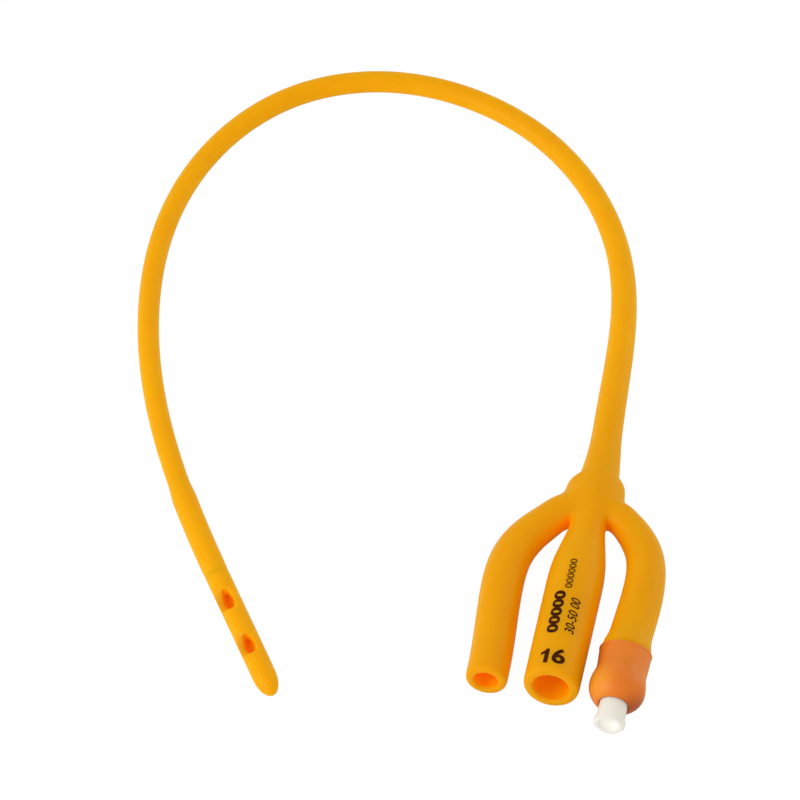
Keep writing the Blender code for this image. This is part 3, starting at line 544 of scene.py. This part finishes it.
side, up = shaft_line.axes(RINSE_EYE_PLACE)
facing = (side * LUMENS["irrigation"][1] + up * LUMENS["irrigation"][2]).normalized()
tools.append(scoop("rinse_hole", RINSE_EYE, shaft_line, RINSE_EYE_PLACE, facing, TIP_RADIUS))
combine(shaft, "DIFFERENCE", *tools)

# The latex turns towards the junction's tone near it, painted shade darkens the left wall of each hollow,
# and a painted red glow rings each hole: middle, start and end of the drift, and the tone there. Its bores
# and eye holes get painted shade and glow as well.
tone_and_painted_light_drifts = [(Vector((FUNNEL_X, HUB_TOP_Y, FUNNEL_Z)), 0, HUB_BLEND, HUB_AMBER)]
for distance in EYE_PLACES:
    side, up = shaft_line.axes(distance)
    shaded_left_wall = shaft_line.place(distance + WALL_AHEAD) + up * WALL_ABOVE - side * WALL_ASIDE
    tone_and_painted_light_drifts.append((shaded_left_wall, *WALL_SHADE_BLEND, HOLLOW_WALL_SHADE_AMBER))
    tone_and_painted_light_drifts.append((shaft_line.place(distance) + EYE_FACING * MM, *EYE_GLOW_BLEND, EYE_HOLE_GLOW_AMBER))
amber_latex = latex(
    "amber_latex", AMBER, DEEP_AMBER, BORE_SHADE_AND_GLOW_AMBER, roughness=0.4, soak=SHAFT_SOAK, open_at=0.97,
    tone_and_painted_light_drifts=tone_and_painted_light_drifts)
finish_piece(shaft, amber_latex, "amber_latex", "shaft")
[shaft_line.place(d) for d in reversed(stations(0, shaft_stations[-1], 4 * MM))]

# Balloon
# A thin latex sleeve bonded round the shaft behind the eyes. It is empty and lies flat, flush with
# the thicker tip in front and feathered out on the shaft behind.
BALLOON_FEATHER = 5 * MM
BOND_DEPTH = 1.2 * MM
# The balloon's latex takes painted shade and glow in its hollows too
film_latex = latex("film_latex", AMBER, DEEP_AMBER, GLOWING_AMBER, roughness=0.39, soak=SHAFT_SOAK)


def film_radius(distance, turn):
    """Outer radius of the empty balloon."""
    ahead = smooth((distance - BALLOON_START) / BALLOON_FEATHER)
    behind = smooth((BALLOON_START + BALLOON_LENGTH - distance) / BALLOON_FEATHER)
    radius = TIP_RADIUS + (BALLOON_RADIUS - TIP_RADIUS) * ahead
    return radius - (radius - SHAFT_RADIUS - 0.05 * MM) * (1 - behind)


balloon_stations = stations(BALLOON_START + 0.03 * MM, BALLOON_START + BALLOON_LENGTH, 0.8 * MM)
balloon = tube("balloon_film", shaft_line, balloon_stations, film_radius, SHAFT_SIDES)
core_stations = stations(BALLOON_START - 1 * MM, BALLOON_START + BALLOON_LENGTH + 1 * MM, 1 * MM)
core = tube("film_core", shaft_line, core_stations, lambda d, t: SHAFT_RADIUS - BOND_DEPTH, SHAFT_SIDES)
combine(balloon, "DIFFERENCE", core)
finish_piece(balloon, film_latex, "balloon_latex", "balloon")

# Junction
# One soft moulding: a flattened hub with rounded shoulders round the shaft's end, a wide drainage
# funnel straight ahead, and an irrigation and an inflation arm that bow out on its two sides.
FUNNEL_END_Y = -82.9 * MM
FUNNEL_RADIUS = 7.0 * MM
FUNNEL_BORE = 4.5 * MM
NECK_RADIUS = 4.95 * MM
BELL_START_Y = -37.8 * MM
BELL_LENGTH = 12.5 * MM
IRRIGATION_END = Vector((33.75, -82.6, 5.2)) * MM
IRRIGATION_RADIUS = 5.2 * MM
IRRIGATION_ROOT = 4.0 * MM
IRRIGATION_GROWTH = 32.5 * MM
IRRIGATION_BORE = 2.95 * MM
INFLATION_END = Vector((66.05, -78.6, 7.1)) * MM
INFLATION_RADIUS = 5.35 * MM
INFLATION_ROOT = 3.4 * MM
INFLATION_GROWTH = 46 * MM
SLEEVE_SEAT_RADIUS = 5.48 * MM
LIP_TO_END = 10.0 * MM
LIP_SWELL = 0.85 * MM
SEAT_EASE = 6 * MM
SWELL_AHEAD = 4 * MM
SWELL_BEHIND = 3 * MM

# The two open mouths are cut a little off square, so that they look up
FUNNEL_SLOPE = 0.105
IRRIGATION_SLOPE = 0.055
SLOPE_REACH = 6 * MM

# Centre lines of the two side arms, in millimetres
IRRIGATION_ROUTE = [
    (47.4, -23.8), (45.1, -28.2), (41.9, -31.9), (38.9, -34.9), (36.4, -38.1), (34.3, -41.8),
    (32.9, -46.0), (32.4, -51.0), (32.7, -60.8), (33.4, -70.8), (33.7, -77.0),
]
INFLATION_ROUTE = [
    (52.5, -23.8), (54.9, -27.4), (57.7, -30.1), (60.5, -32.7), (62.9, -35.6), (65.1, -39.4),
    (66.4, -43.8), (66.9, -48.8), (66.8, -56.8), (66.3, -64.8), (66.05, -72.0),
]

# The fork, seven columns wide: X and Y of each column, and the height of its top above the middle
FORK = [
    (40.4, -27.6, 3.2), (42.8, -29.9, 4.6), (45.9, -32.3, 3.0), (50.0, -33.2, 5.2),
    (53.7, -31.0, 3.0), (56.7, -28.9, 4.5), (58.8, -26.6, 3.2),
]
FORK_SIDE = 1.2

# Hub rings from the fork to the shaft: middle Y, how far the left and the right side are ahead of it,
# reach to the left and to the right, and half thickness
HUB_RINGS = [
    (-28.4, 2.6, 2.6, 8.2, 7.75, 5.65), (-24.8, 0.9, 0.9, 7.65, 7.35, 5.5),
    (-22.4, 0.0, 0.2, 7.45, 7.15, 5.3), (-20.5, -0.8, -0.1, 7.15, 6.75, 5.12),
    (-19.3, -1.3, -0.3, 6.5, 5.9, 4.97), (-18.5, -1.6, -0.4, 5.6, 5.3, 4.88),
    (-18.2, -1.7, -0.45, 5.0, 4.95, 4.85), (-18.3, -1.7, -0.45, 4.5, 4.5, 4.5),
    (-18.6, -1.7, -0.45, 3.3, 3.3, 3.3), (-23.8, 0.0, 0.0, 3.3, 3.3, 3.3),
]
OCTAGON_SWELL = 1.108
LOOP_SWELL = 1.026


def arm_line(flat_points, end):
    """Centre line of an arm, easing from the funnel's height to its own."""
    points = [Vector((x * MM, y * MM, 0)) for x, y in flat_points]
    first, last = points[0].y, points[-1].y
    for point in points:
        point.z = FUNNEL_Z + (end.z - FUNNEL_Z) * smooth((point.y - first) / (last - first))
    return Route(points + [end])


funnel_line = Route([
    Vector((FUNNEL_X, y, FUNNEL_Z)) for y in (HUB_TOP_Y - SOCKET_DEPTH, BELL_START_Y, FUNNEL_END_Y)])
irrigation_line = arm_line(IRRIGATION_ROUTE, IRRIGATION_END)
inflation_line = arm_line(INFLATION_ROUTE, INFLATION_END)


def neck_to_funnel(distance):
    """Outer radius of the drainage funnel behind the hub."""
    y = HUB_TOP_Y - SOCKET_DEPTH - distance
    share = min(max((BELL_START_Y - y) / BELL_LENGTH, 0), 1)
    return NECK_RADIUS + (FUNNEL_RADIUS - NECK_RADIUS) * math.sin(share * math.pi / 2)


def irrigation_radius(distance):
    """Outer radius of the irrigation arm, which widens to its mouth."""
    return IRRIGATION_ROOT + (IRRIGATION_RADIUS - IRRIGATION_ROOT) * smooth(distance / IRRIGATION_GROWTH)


def inflation_radius(distance):
    """Outer radius of the inflation arm, which the sleeve's lip squeezes into a swell."""
    radius = INFLATION_ROOT
    radius += (INFLATION_RADIUS - radius) * math.sin(min(distance / INFLATION_GROWTH, 1) * math.pi / 2)
    past_lip = distance - inflation_line.length + LIP_TO_END
    seated = smooth(past_lip / SEAT_EASE + 1)
    squeezed = smooth(past_lip / SWELL_AHEAD + 1) * (1 - smooth(past_lip / SWELL_BEHIND))
    return radius + (SLEEVE_SEAT_RADIUS - INFLATION_RADIUS) * seated + LIP_SWELL * squeezed


bpy.ops.object.select_all(action="DESELECT")
bpy.ops.mesh.primitive_grid_add(x_subdivisions=6, y_subdivisions=2, size=2)
junction = bpy.context.object
junction.name = "moulded_junction"
bpy.ops.object.mode_set(mode="EDIT")
bm = bmesh.from_edit_mesh(junction.data)
column_of = bm.verts.layers.int.new("column")
row_of = bm.verts.layers.int.new("row")
drawn = bm.verts.layers.int.new("drawn")
for vert in bm.verts:
    vert[column_of] = round(vert.co.x * 3) + 3
    vert[row_of] = round(vert.co.y)
for vert in bm.verts:
    x, y, rise = FORK[vert[column_of]]
    if vert[row_of] == 0:
        x += FORK_SIDE * ((vert[column_of] == 6) - (vert[column_of] == 0))
    vert.co = Vector((x, y, FUNNEL_Z / MM + rise * vert[row_of])) * MM


def extrude_arm(first_column, route, start, radius_at, step, end_rounding):
    """Draw one arm out of the fork, ring by ring, to its rounded flat end."""
    bpy.ops.mesh.select_all(action="DESELECT")
    bpy.context.tool_settings.mesh_select_mode = (False, False, True)
    for face in bm.faces:
        face.select = all(
            not vert[drawn] and first_column <= vert[column_of] <= first_column + 2
            for vert in face.verts)
    bmesh.update_edit_mesh(junction.data)
    length = route.length
    rings = [(d, radius_at(d)) for d in stations(start, length - end_rounding * 2, step)]
    full = radius_at(length)
    rings += [(length - end_rounding, full), (length, full), (length, full - end_rounding)]
    for distance, radius in rings:
        bpy.ops.mesh.extrude_region_move()
        centre = route.place(distance)
        side, up = route.axes(distance)
        side = side if side.x > 0 else -side
        for vert in bm.verts:
            if vert.select:
                vert[drawn] = 1
                across, above = vert[column_of] - first_column - 1, vert[row_of]
                turn = math.atan2(above, across)
                reach = radius * OCTAGON_SWELL if across or above else 0
                vert.co = centre + (side * math.cos(turn) + up * math.sin(turn)) * reach
        bmesh.update_edit_mesh(junction.data)


# First column of the fork, centre line, start, radius, spacing of the rings, rounding of the end
ARMS = [
    (0, irrigation_line, 13.0 * MM, irrigation_radius, 4.2 * MM, 1.9 * MM),
    (2, funnel_line, 13.7 * MM, neck_to_funnel, 4.2 * MM, 2.2 * MM),
    (4, inflation_line, 12.4 * MM, inflation_radius, 2.1 * MM, 1.0 * MM),
]
for arm in ARMS:
    extrude_arm(*arm)

bpy.context.tool_settings.mesh_select_mode = (False, True, False)
bpy.ops.mesh.select_all(action="DESELECT")
for edge in bm.edges:
    edge.select = edge.is_boundary
bmesh.update_edit_mesh(junction.data)
for y, left_lead, right_lead, left, right, half_thickness in HUB_RINGS:
    bpy.ops.mesh.extrude_region_move()
    for vert in bm.verts:
        if vert.select:
            column, row = vert[column_of], vert[row_of]
            turn = math.radians(157.5 - 22.5 * column) * (row or 1) if row else math.pi * (column == 0)
            reach, lead = (right, right_lead) if math.cos(turn) > 0 else (left, left_lead)
            reach = half_thickness + (reach - half_thickness) * math.cos(turn) ** 2
            vert.co = Vector((
                FUNNEL_X / MM + reach * LOOP_SWELL * math.cos(turn),
                y + lead * math.cos(turn) ** 2,
                FUNNEL_Z / MM + half_thickness * LOOP_SWELL * math.sin(turn),
            )) * MM
    bmesh.update_edit_mesh(junction.data)
bpy.ops.mesh.edge_face_add()
bpy.ops.mesh.select_all(action="SELECT")
bpy.ops.mesh.normals_make_consistent(inside=False)
bpy.ops.object.mode_set(mode="OBJECT")
apply_modifier(junction, "SUBSURF", levels=3, render_levels=3)

# The drain starts above the middle, where the shaft's largest lumen meets it
DRAIN_RISE = 1.15 * MM
DRAIN_START_RADIUS = 2.2 * MM
IRRIGATION_START_RADIUS = 0.97 * MM
INFLATION_BORE = 0.8 * MM
VALVE_SOCKET_RADIUS = 4.45 * MM
drain_start_y = HUB_TOP_Y - SOCKET_DEPTH + 0.6 * MM
bell_end_y = BELL_START_Y - BELL_LENGTH
drain_line = Route([
    Vector((FUNNEL_X, drain_start_y, FUNNEL_Z + DRAIN_RISE)),
    Vector((FUNNEL_X, (drain_start_y + BELL_START_Y) / 2, FUNNEL_Z + 0.57 * MM)),
    Vector((FUNNEL_X, bell_end_y, FUNNEL_Z)),
    Vector((FUNNEL_X, FUNNEL_END_Y, FUNNEL_Z)),
])


def bore(name, line, end_radius, start_radius=None, growth_length=1.0, edge=0.8 * MM):
    """Cutter for a plain or widening bore along a line, with a rounded edge at the mouth."""
    start_radius = start_radius or end_radius
    along = stations(0, line.length - edge, 1.5 * MM)
    along += [line.length - edge * k for k in (0.8, 0.6, 0.4, 0.25, 0.12, 0.04, 0)]
    along.append(line.length + 1 * MM)

    def radius_at(distance, turn):
        radius = start_radius + (end_radius - start_radius) * smooth(distance / growth_length)
        depth = min(max((distance - line.length + edge) / edge, 0), 1)
        return radius + edge * 0.9 * (1 - math.sqrt(1 - depth ** 2))

    return tube(name, line, along, radius_at, 64)


irrigation_bore_line = arm_line([(48.6, -23.2)] + IRRIGATION_ROUTE[1:], IRRIGATION_END)
inflation_bore_line = arm_line([(51.5, -23.2)] + INFLATION_ROUTE[1:], INFLATION_END)
valve_socket_line = Route([
    Vector((INFLATION_END.x, y * MM, INFLATION_END.z)) for y in (-69.2, -74.0, -78.6)])
combine(
    junction, "DIFFERENCE",
    bore("drain_bore", drain_line, FUNNEL_BORE, DRAIN_START_RADIUS, drain_start_y - bell_end_y),
    bore(
        "irrigation_bore", irrigation_bore_line, IRRIGATION_BORE, IRRIGATION_START_RADIUS,
        IRRIGATION_GROWTH),
    bore("inflation_bore", inflation_bore_line, INFLATION_BORE),
    bore("valve_socket", valve_socket_line, VALVE_SOCKET_RADIUS),
)
for centre, radius, slope in (
        (funnel_line.place(funnel_line.length), FUNNEL_RADIUS, FUNNEL_SLOPE),
        (IRRIGATION_END, IRRIGATION_RADIUS, IRRIGATION_SLOPE)):
    for vert in junction.data.vertices:
        if abs(vert.co.x - centre.x) < radius + 1 * MM and vert.co.y < centre.y + SLOPE_REACH:
            share = smooth((centre.y + SLOPE_REACH - vert.co.y) / SLOPE_REACH)
            vert.co.y += slope * share * (vert.co.z - centre.z)
MOULDED_AMBER = (0.84, 0.39, 0.0)
DEEP_MOULDED_AMBER = (0.82, 0.365, 0.0)
# Painted shade and glow in the junction's bores and crotches
junction_latex = latex(
    "junction_latex", MOULDED_AMBER, DEEP_MOULDED_AMBER, GLOWING_AMBER, roughness=0.38,
    soak=(0.8, 0.3, 0.0032), glow=0.16, reach=0.0095)
finish_piece(junction, junction_latex, "junction_latex", "three_way_junction")

# Print
# Dark brown ink on the funnel: the size across it near the mouth, and plain numbers along it.
INK_RISE = 0.03 * MM
INK_DEPTH = 0.06 * MM
INK_STRIP = 0.25 * MM

# Outline of a one with a flag, one unit high
DIGIT_ONE = [
    (0.28, 0.0), (0.58, 0.0), (0.58, 1.0), (0.36, 1.0), (0.26, 0.86), (0.0, 0.76), (0.0, 0.55),
    (0.28, 0.66),
]

# Name, digits, middle (round the funnel from its top, and Y), height, length, turn, weight and slant
NUMBERS = [
    ("size_one", DIGIT_ONE, (-2.6, -77.9), 4.2, 2.15, 0, 0, 0),
    ("size_six", "6", (1.05, -77.65), 4.45, 3.4, 0, 0.03, 0.0),
    ("bold_number", "00000", (-2.2, -64.55), 3.0, 12.8, 90, 0.045, 0.0),
    ("volume_number", "30-50 00", (2.1, -65.1), 2.5, 10.6, 90, 0.012, 0.25),
    ("small_number", "000000", (-0.6, -52.8), 1.8, 8.9, 91, 0.008, 0.0),
]

INK = (0.045, 0.007, 0.0)
FADED_INK = (0.08, 0.015, 0.0)
brown_ink, tree, principled, node = shader_nodes("brown_ink")
*_, ink_colour = two_tones(tree, node, 700.0, 3.0, INK, FADED_INK, high_end=0.75)
tree.links.new(ink_colour, principled.inputs["Base Color"])
principled.inputs["Roughness"].default_value = 0.55
principled.inputs["Specular IOR Level"].default_value = 0.06

for name, digits, middle, height, length, turn, weight, slant in NUMBERS:
    if isinstance(digits, str):
        bpy.ops.object.text_add()
        number = bpy.context.object
        number.data.body = digits
        number.data.offset = weight
        number.data.shear = slant
        number.data.resolution_u = 6
        bpy.ops.object.convert(target="MESH")
    else:
        bpy.ops.mesh.primitive_circle_add(vertices=len(digits), fill_type="NGON")
        number = bpy.context.object
        for vert, (x, y) in zip(number.data.vertices, digits):
            vert.co = (x, y, 0)
    number.name = name
    mesh = number.data
    corners = np.array([vert.co for vert in mesh.vertices])
    low, high = corners.min(axis=0), corners.max(axis=0)
    mesh.transform(Matrix.Translation(Vector(-(low + high) / 2)))
    mesh.transform(Matrix.Diagonal((length * MM / (high - low)[0], height * MM / (high - low)[1], 1, 1)))
    mesh.transform(Matrix.Rotation(math.radians(turn), 4, "Z"))
    bm = bmesh.new()
    bm.from_mesh(mesh)
    reach = max(abs(vert.co.x) for vert in bm.verts)
    bmesh.ops.triangulate(bm, faces=bm.faces[:])
    for across in stations(-reach, reach, INK_STRIP)[1:-1]:
        parts = bm.verts[:] + bm.edges[:] + bm.faces[:]
        bmesh.ops.bisect_plane(bm, geom=parts, plane_co=(across, 0, 0), plane_no=(1, 0, 0))
    for vert in bm.verts:
        y = vert.co.y + middle[1] * MM
        radius = neck_to_funnel(HUB_TOP_Y - SOCKET_DEPTH - y) + INK_RISE
        turn_round = (vert.co.x + middle[0] * MM) / FUNNEL_RADIUS
        vert.co = Vector((
            FUNNEL_X + radius * math.sin(turn_round), y, FUNNEL_Z + radius * math.cos(turn_round)))
    bm.to_mesh(mesh)
    bm.free()
    apply_modifier(
        number, "SHRINKWRAP", target=junction, wrap_method="NEAREST_SURFACEPOINT",
        wrap_mode="ABOVE_SURFACE", offset=INK_RISE)
    apply_modifier(number, "SOLIDIFY", thickness=INK_DEPTH, offset=-1)
    finish_piece(number, brown_ink, "junction_latex")

# Sleeve
# Orange rubber sleeve stretched over the end of the inflation arm and the valve's collar. It has a
# thin double lip, a soft waist, and a bulge over the collar that is fuller on its lower left.
VALVE_X = 66.05 * MM
VALVE_Z = 7.1 * MM
SLEEVE_SIDES = 32
SLEEVE_SWELL = 1.0065

LIP_TILT = 1.0
LIP_TILT_REACH = 6.0

# Outside from the lip to the valve and back up the inside: Y, then radius on the left and the right
SLEEVE_PROFILE = [
    (-68.62, 5.62, 5.62), (-68.58, 6.0, 6.05), (-68.62, 6.35, 6.4), (-68.8, 6.55, 6.65),
    (-69.2, 6.58, 6.7), (-69.42, 6.5, 6.62), (-69.55, 6.36, 6.5), (-69.7, 6.32, 6.48),
    (-69.9, 6.38, 6.54), (-70.4, 6.42, 6.56), (-71.6, 6.3, 6.54), (-73.2, 6.2, 6.5),
    (-74.6, 6.16, 6.42), (-75.7, 6.24, 6.4), (-76.8, 6.58, 6.52), (-78.2, 6.98, 6.84),
    (-79.9, 7.1, 7.06), (-81.4, 6.9, 7.0), (-82.8, 6.25, 6.45), (-83.9, 5.4, 5.6),
    (-84.7, 4.5, 4.55), (-85.0, 3.95, 3.95), (-84.95, 3.62, 3.62), (-84.5, 3.56, 3.56),
    (-83.2, 3.56, 3.56), (-81.8, 4.4, 4.4), (-81.3, 5.2, 5.2), (-78.6, 5.2, 5.2), (-78.2, 5.5, 5.5),
    (-73.0, 5.5, 5.5), (-69.5, 5.45, 5.45),
]


def turned(name, profile, sides, swell=1.0, tilt=0.0):
    """Closed rings round the valve's axis; each has a Y, a radius to the left and one to the right."""
    bm = bmesh.new()
    rows = []
    for y, left, right in profile:
        row = []
        for k in range(sides):
            turn = 2 * math.pi * k / sides
            radius = (left + right) / 2 + (right - left) / 2 * math.cos(turn)
            lean = tilt * math.sin(turn) * smooth((y - profile[0][0] + LIP_TILT_REACH) / LIP_TILT_REACH)
            row.append(bm.verts.new(Vector((
                VALVE_X + radius * swell * math.cos(turn) * MM,
                (y - lean) * MM,
                VALVE_Z + radius * swell * math.sin(turn) * MM,
            ))))
        rows.append(row)
    return join_rings(name, bm, rows, capped=False)


ORANGE = (0.86, 0.24, 0.018)
DEEP_ORANGE = (0.82, 0.205, 0.012)
# Painted shade where ambient occlusion, the table's included, finds the sleeve
SLEEVE_SHADE_ORANGE = (0.4, 0.07, 0.005)
# Painted highlight on the left of the bulge
PAINTED_HIGHLIGHT_ORANGE = (0.9, 0.33, 0.02)
# Painted shade on the right of the sleeve's end, by the valve
PAINTED_SHADE_ORANGE = (0.48, 0.09, 0.006)
sleeve = turned("rubber_sleeve", SLEEVE_PROFILE, SLEEVE_SIDES, swell=SLEEVE_SWELL, tilt=LIP_TILT)
apply_modifier(sleeve, "SUBSURF", levels=2, render_levels=2)
orange_rubber = latex(
    "orange_rubber", ORANGE, DEEP_ORANGE, SLEEVE_SHADE_ORANGE, roughness=0.4, soak=(0.4, 0.4, 0.002), glow=0.0,
    reach=0.01, gloss_level=0.25, own=False,
    # Painted highlight on the bulge's left, then painted shade on the right of its end by the valve
    tone_and_painted_light_drifts=[
        (Vector((VALVE_X - 5 * MM, -81 * MM, VALVE_Z + 4 * MM)), 1 * MM, 7 * MM, PAINTED_HIGHLIGHT_ORANGE),
        (Vector((VALVE_X + 4 * MM, -84.5 * MM, VALVE_Z - 1 * MM)), 1 * MM, 7 * MM, PAINTED_SHADE_ORANGE),
    ])
finish_piece(sleeve, orange_rubber, "orange_rubber", "valve_sleeve", angle=80)

# Check valve
# A milky plastic tube with a tapered syringe socket and two locking lugs. Its barrel is pushed into
# the arm, where a spring holds an ivory plunger and a black seal against the socket's floor.
MOUTH_Y = -91.0
TUBE_RADIUS = 3.5
LUG_START = 0.2
LUG_END = 1.55
LUG_ROOT = 3.0
LUG_REACH = 3.9
LUG_STEPS = 12
LUG_TURN = math.radians(50)

VALVE_PROFILE = [
    (MOUTH_Y, 2.75), (MOUTH_Y, TUBE_RADIUS), (-81.4, TUBE_RADIUS), (-81.4, 5.1), (-78.9, 5.1),
    (-78.9, 3.75), (-76.0, 3.75), (-76.0, 4.15), (-73.45, 3.75), (-72.05, 3.75), (-72.05, 4.15),
    (-69.5, 3.5), (-69.5, 2.75), (-80.9, 2.75), (-80.9, 1.55), (-82.4, 1.55), (-82.4, 1.9),
    (MOUTH_Y + 0.6, 2.15),
]
valve = turned("valve_tube", [(y, r, r) for y, r in VALVE_PROFILE], 64)
apply_modifier(valve, "BEVEL", width=0.22 * MM, segments=3, limit_method="ANGLE", angle_limit=0.6)
DEEP_MILK = (0.86, 0.825, 0.73)
MILK = (0.88, 0.845, 0.755)
GLOWING_MILK = (0.92, 0.92, 0.88)
milky_plastic, tree, principled, node = shader_nodes("milky_plastic")
*_, milky_colour = two_tones(tree, node, 220.0, 2.0, DEEP_MILK, MILK, 0.3, 0.7)
# Painted glow, a paler tone with emission, in the valve's mouth and bore
paint_shade_and_glow_in_hollows(tree, node, principled, milky_colour, GLOWING_MILK, 0.2, 0.006)
principled.inputs["Roughness"].default_value = 0.22
principled.inputs["Subsurface Weight"].default_value = 0.5
principled.inputs["Subsurface Radius"].default_value = (1.0, 1.0, 0.9)
principled.inputs["Subsurface Scale"].default_value = 0.002
for name, middle in (("right_lug", 0), ("left_lug", math.pi)):
    bm = bmesh.new()
    rows = []
    for k in range(LUG_STEPS + 1):
        turn = middle + LUG_TURN * (k / LUG_STEPS - 0.5)
        across, above = math.cos(turn), math.sin(turn)
        rows.append([
            bm.verts.new(Vector((VALVE_X / MM + reach * across, y, VALVE_Z / MM + reach * above)) * MM)
            for reach, y in (
                (LUG_ROOT, MOUTH_Y + LUG_START), (LUG_REACH, MOUTH_Y + LUG_START),
                (LUG_REACH, MOUTH_Y + LUG_END), (LUG_ROOT, MOUTH_Y + LUG_END))
        ])
    lug = join_rings(name, bm, rows)
    apply_modifier(lug, "BEVEL", width=0.15 * MM, segments=3, limit_method="ANGLE", angle_limit=0.6)
    combine(valve, "UNION", lug)
finish_piece(valve, milky_plastic, "milky_plastic", "valve_body")

# Plunger and spring
# The ivory plunger has a ribbed stem that the syringe's tip pushes, and a head that carries a black
# washer. A stainless spring behind it stands on a slotted white ring pressed into the barrel.
PLUNGER_HEAD = (-79.7, -78.7, 2.3)
PLUNGER_GUIDE = (-79.0, -76.1, 1.0)
PLUNGER_STEM = (-85.8, -79.2, 1.1, 0.3)


def part_finish(name, low, high, roughness, scale, bump_height=0.0, metallic=0.0):
    """Moulded or drawn finish whose colour drifts between two tones, with a fine grain."""
    material, tree, principled, node = shader_nodes(name)
    _, drift, body_colour = two_tones(tree, node, scale, 3.0, low, high)
    tree.links.new(body_colour, principled.inputs["Base Color"])
    gloss = node("ShaderNodeMapRange", To_Min=roughness - 0.06, To_Max=roughness + 0.06)
    tree.links.new(drift.outputs["Fac"], gloss.inputs["Value"])
    tree.links.new(gloss.outputs["Result"], principled.inputs["Roughness"])
    bump = node("ShaderNodeBump", Strength=0.1, Distance=bump_height)
    tree.links.new(drift.outputs["Fac"], bump.inputs["Height"])
    tree.links.new(bump.outputs["Normal"], principled.inputs["Normal"])
    principled.inputs["Metallic"].default_value = metallic
    return material


def round_bar(name, start, end, radius):
    """Cylinder along the valve's axis."""
    bpy.ops.mesh.primitive_cylinder_add(
        vertices=40, radius=radius * MM, depth=(end - start) * MM,
        location=(VALVE_X, (start + end) / 2 * MM, VALVE_Z), rotation=(math.pi / 2, 0, 0))
    bar = bpy.context.object
    bar.name = name
    bpy.ops.object.transform_apply(location=True, rotation=True, scale=True)
    return bar


plunger = round_bar("ribbed_plunger", *PLUNGER_HEAD)
tools = [round_bar("plunger_guide", *PLUNGER_GUIDE)]
start, end, reach, half = PLUNGER_STEM
for across, above in ((reach, half), (half, reach)):
    bpy.ops.mesh.primitive_cube_add(
        size=2, location=(VALVE_X, (start + end) / 2 * MM, VALVE_Z),
        scale=(across * MM, (end - start) / 2 * MM, above * MM))
    bpy.ops.object.transform_apply(location=True, rotation=True, scale=True)
    tools.append(bpy.context.object)
combine(plunger, "UNION", *tools)
apply_modifier(plunger, "BEVEL", width=0.07 * MM, segments=2, limit_method="ANGLE", angle_limit=0.6)
ivory_plastic = part_finish(
    "ivory_plastic", (0.78, 0.75, 0.64), (0.82, 0.79, 0.7), 0.38, 900.0, bump_height=0.00004)
finish_piece(plunger, ivory_plastic, "plunger_plastic", "valve_plunger", body="plunger")

PART_FINISHES = {
    "valve_seal": part_finish(
        "seal_rubber", (0.018, 0.018, 0.02), (0.032, 0.032, 0.034), 0.62, 1500.0, bump_height=0.00005),
    "valve_retainer": part_finish(
        "retainer_plastic", (0.82, 0.82, 0.79), (0.87, 0.87, 0.85), 0.4, 900.0, bump_height=0.00004),
}
for name, material in PART_FINISHES.items():
    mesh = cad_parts[name].data
    mesh.materials.clear()
    mesh.materials.append(material)

# In the valve the spring shortens as the plunger comes in; here it is a welded copy of the CAD spring with
# its own mesh
spring = bpy.data.objects.new("coiled_spring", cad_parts["valve_spring"].data.copy())
bpy.context.collection.objects.link(spring)
apply_modifier(spring, "WELD", merge_threshold=0.0001 * MM)
drawn_steel = part_finish(
    "drawn_steel", (0.55, 0.55, 0.55), (0.68, 0.68, 0.67), 0.28, 2500.0, bump_height=0.00002, metallic=1.0)
finish_piece(spring, drawn_steel, "spring_steel", "valve_spring", angle=50)
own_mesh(spring)
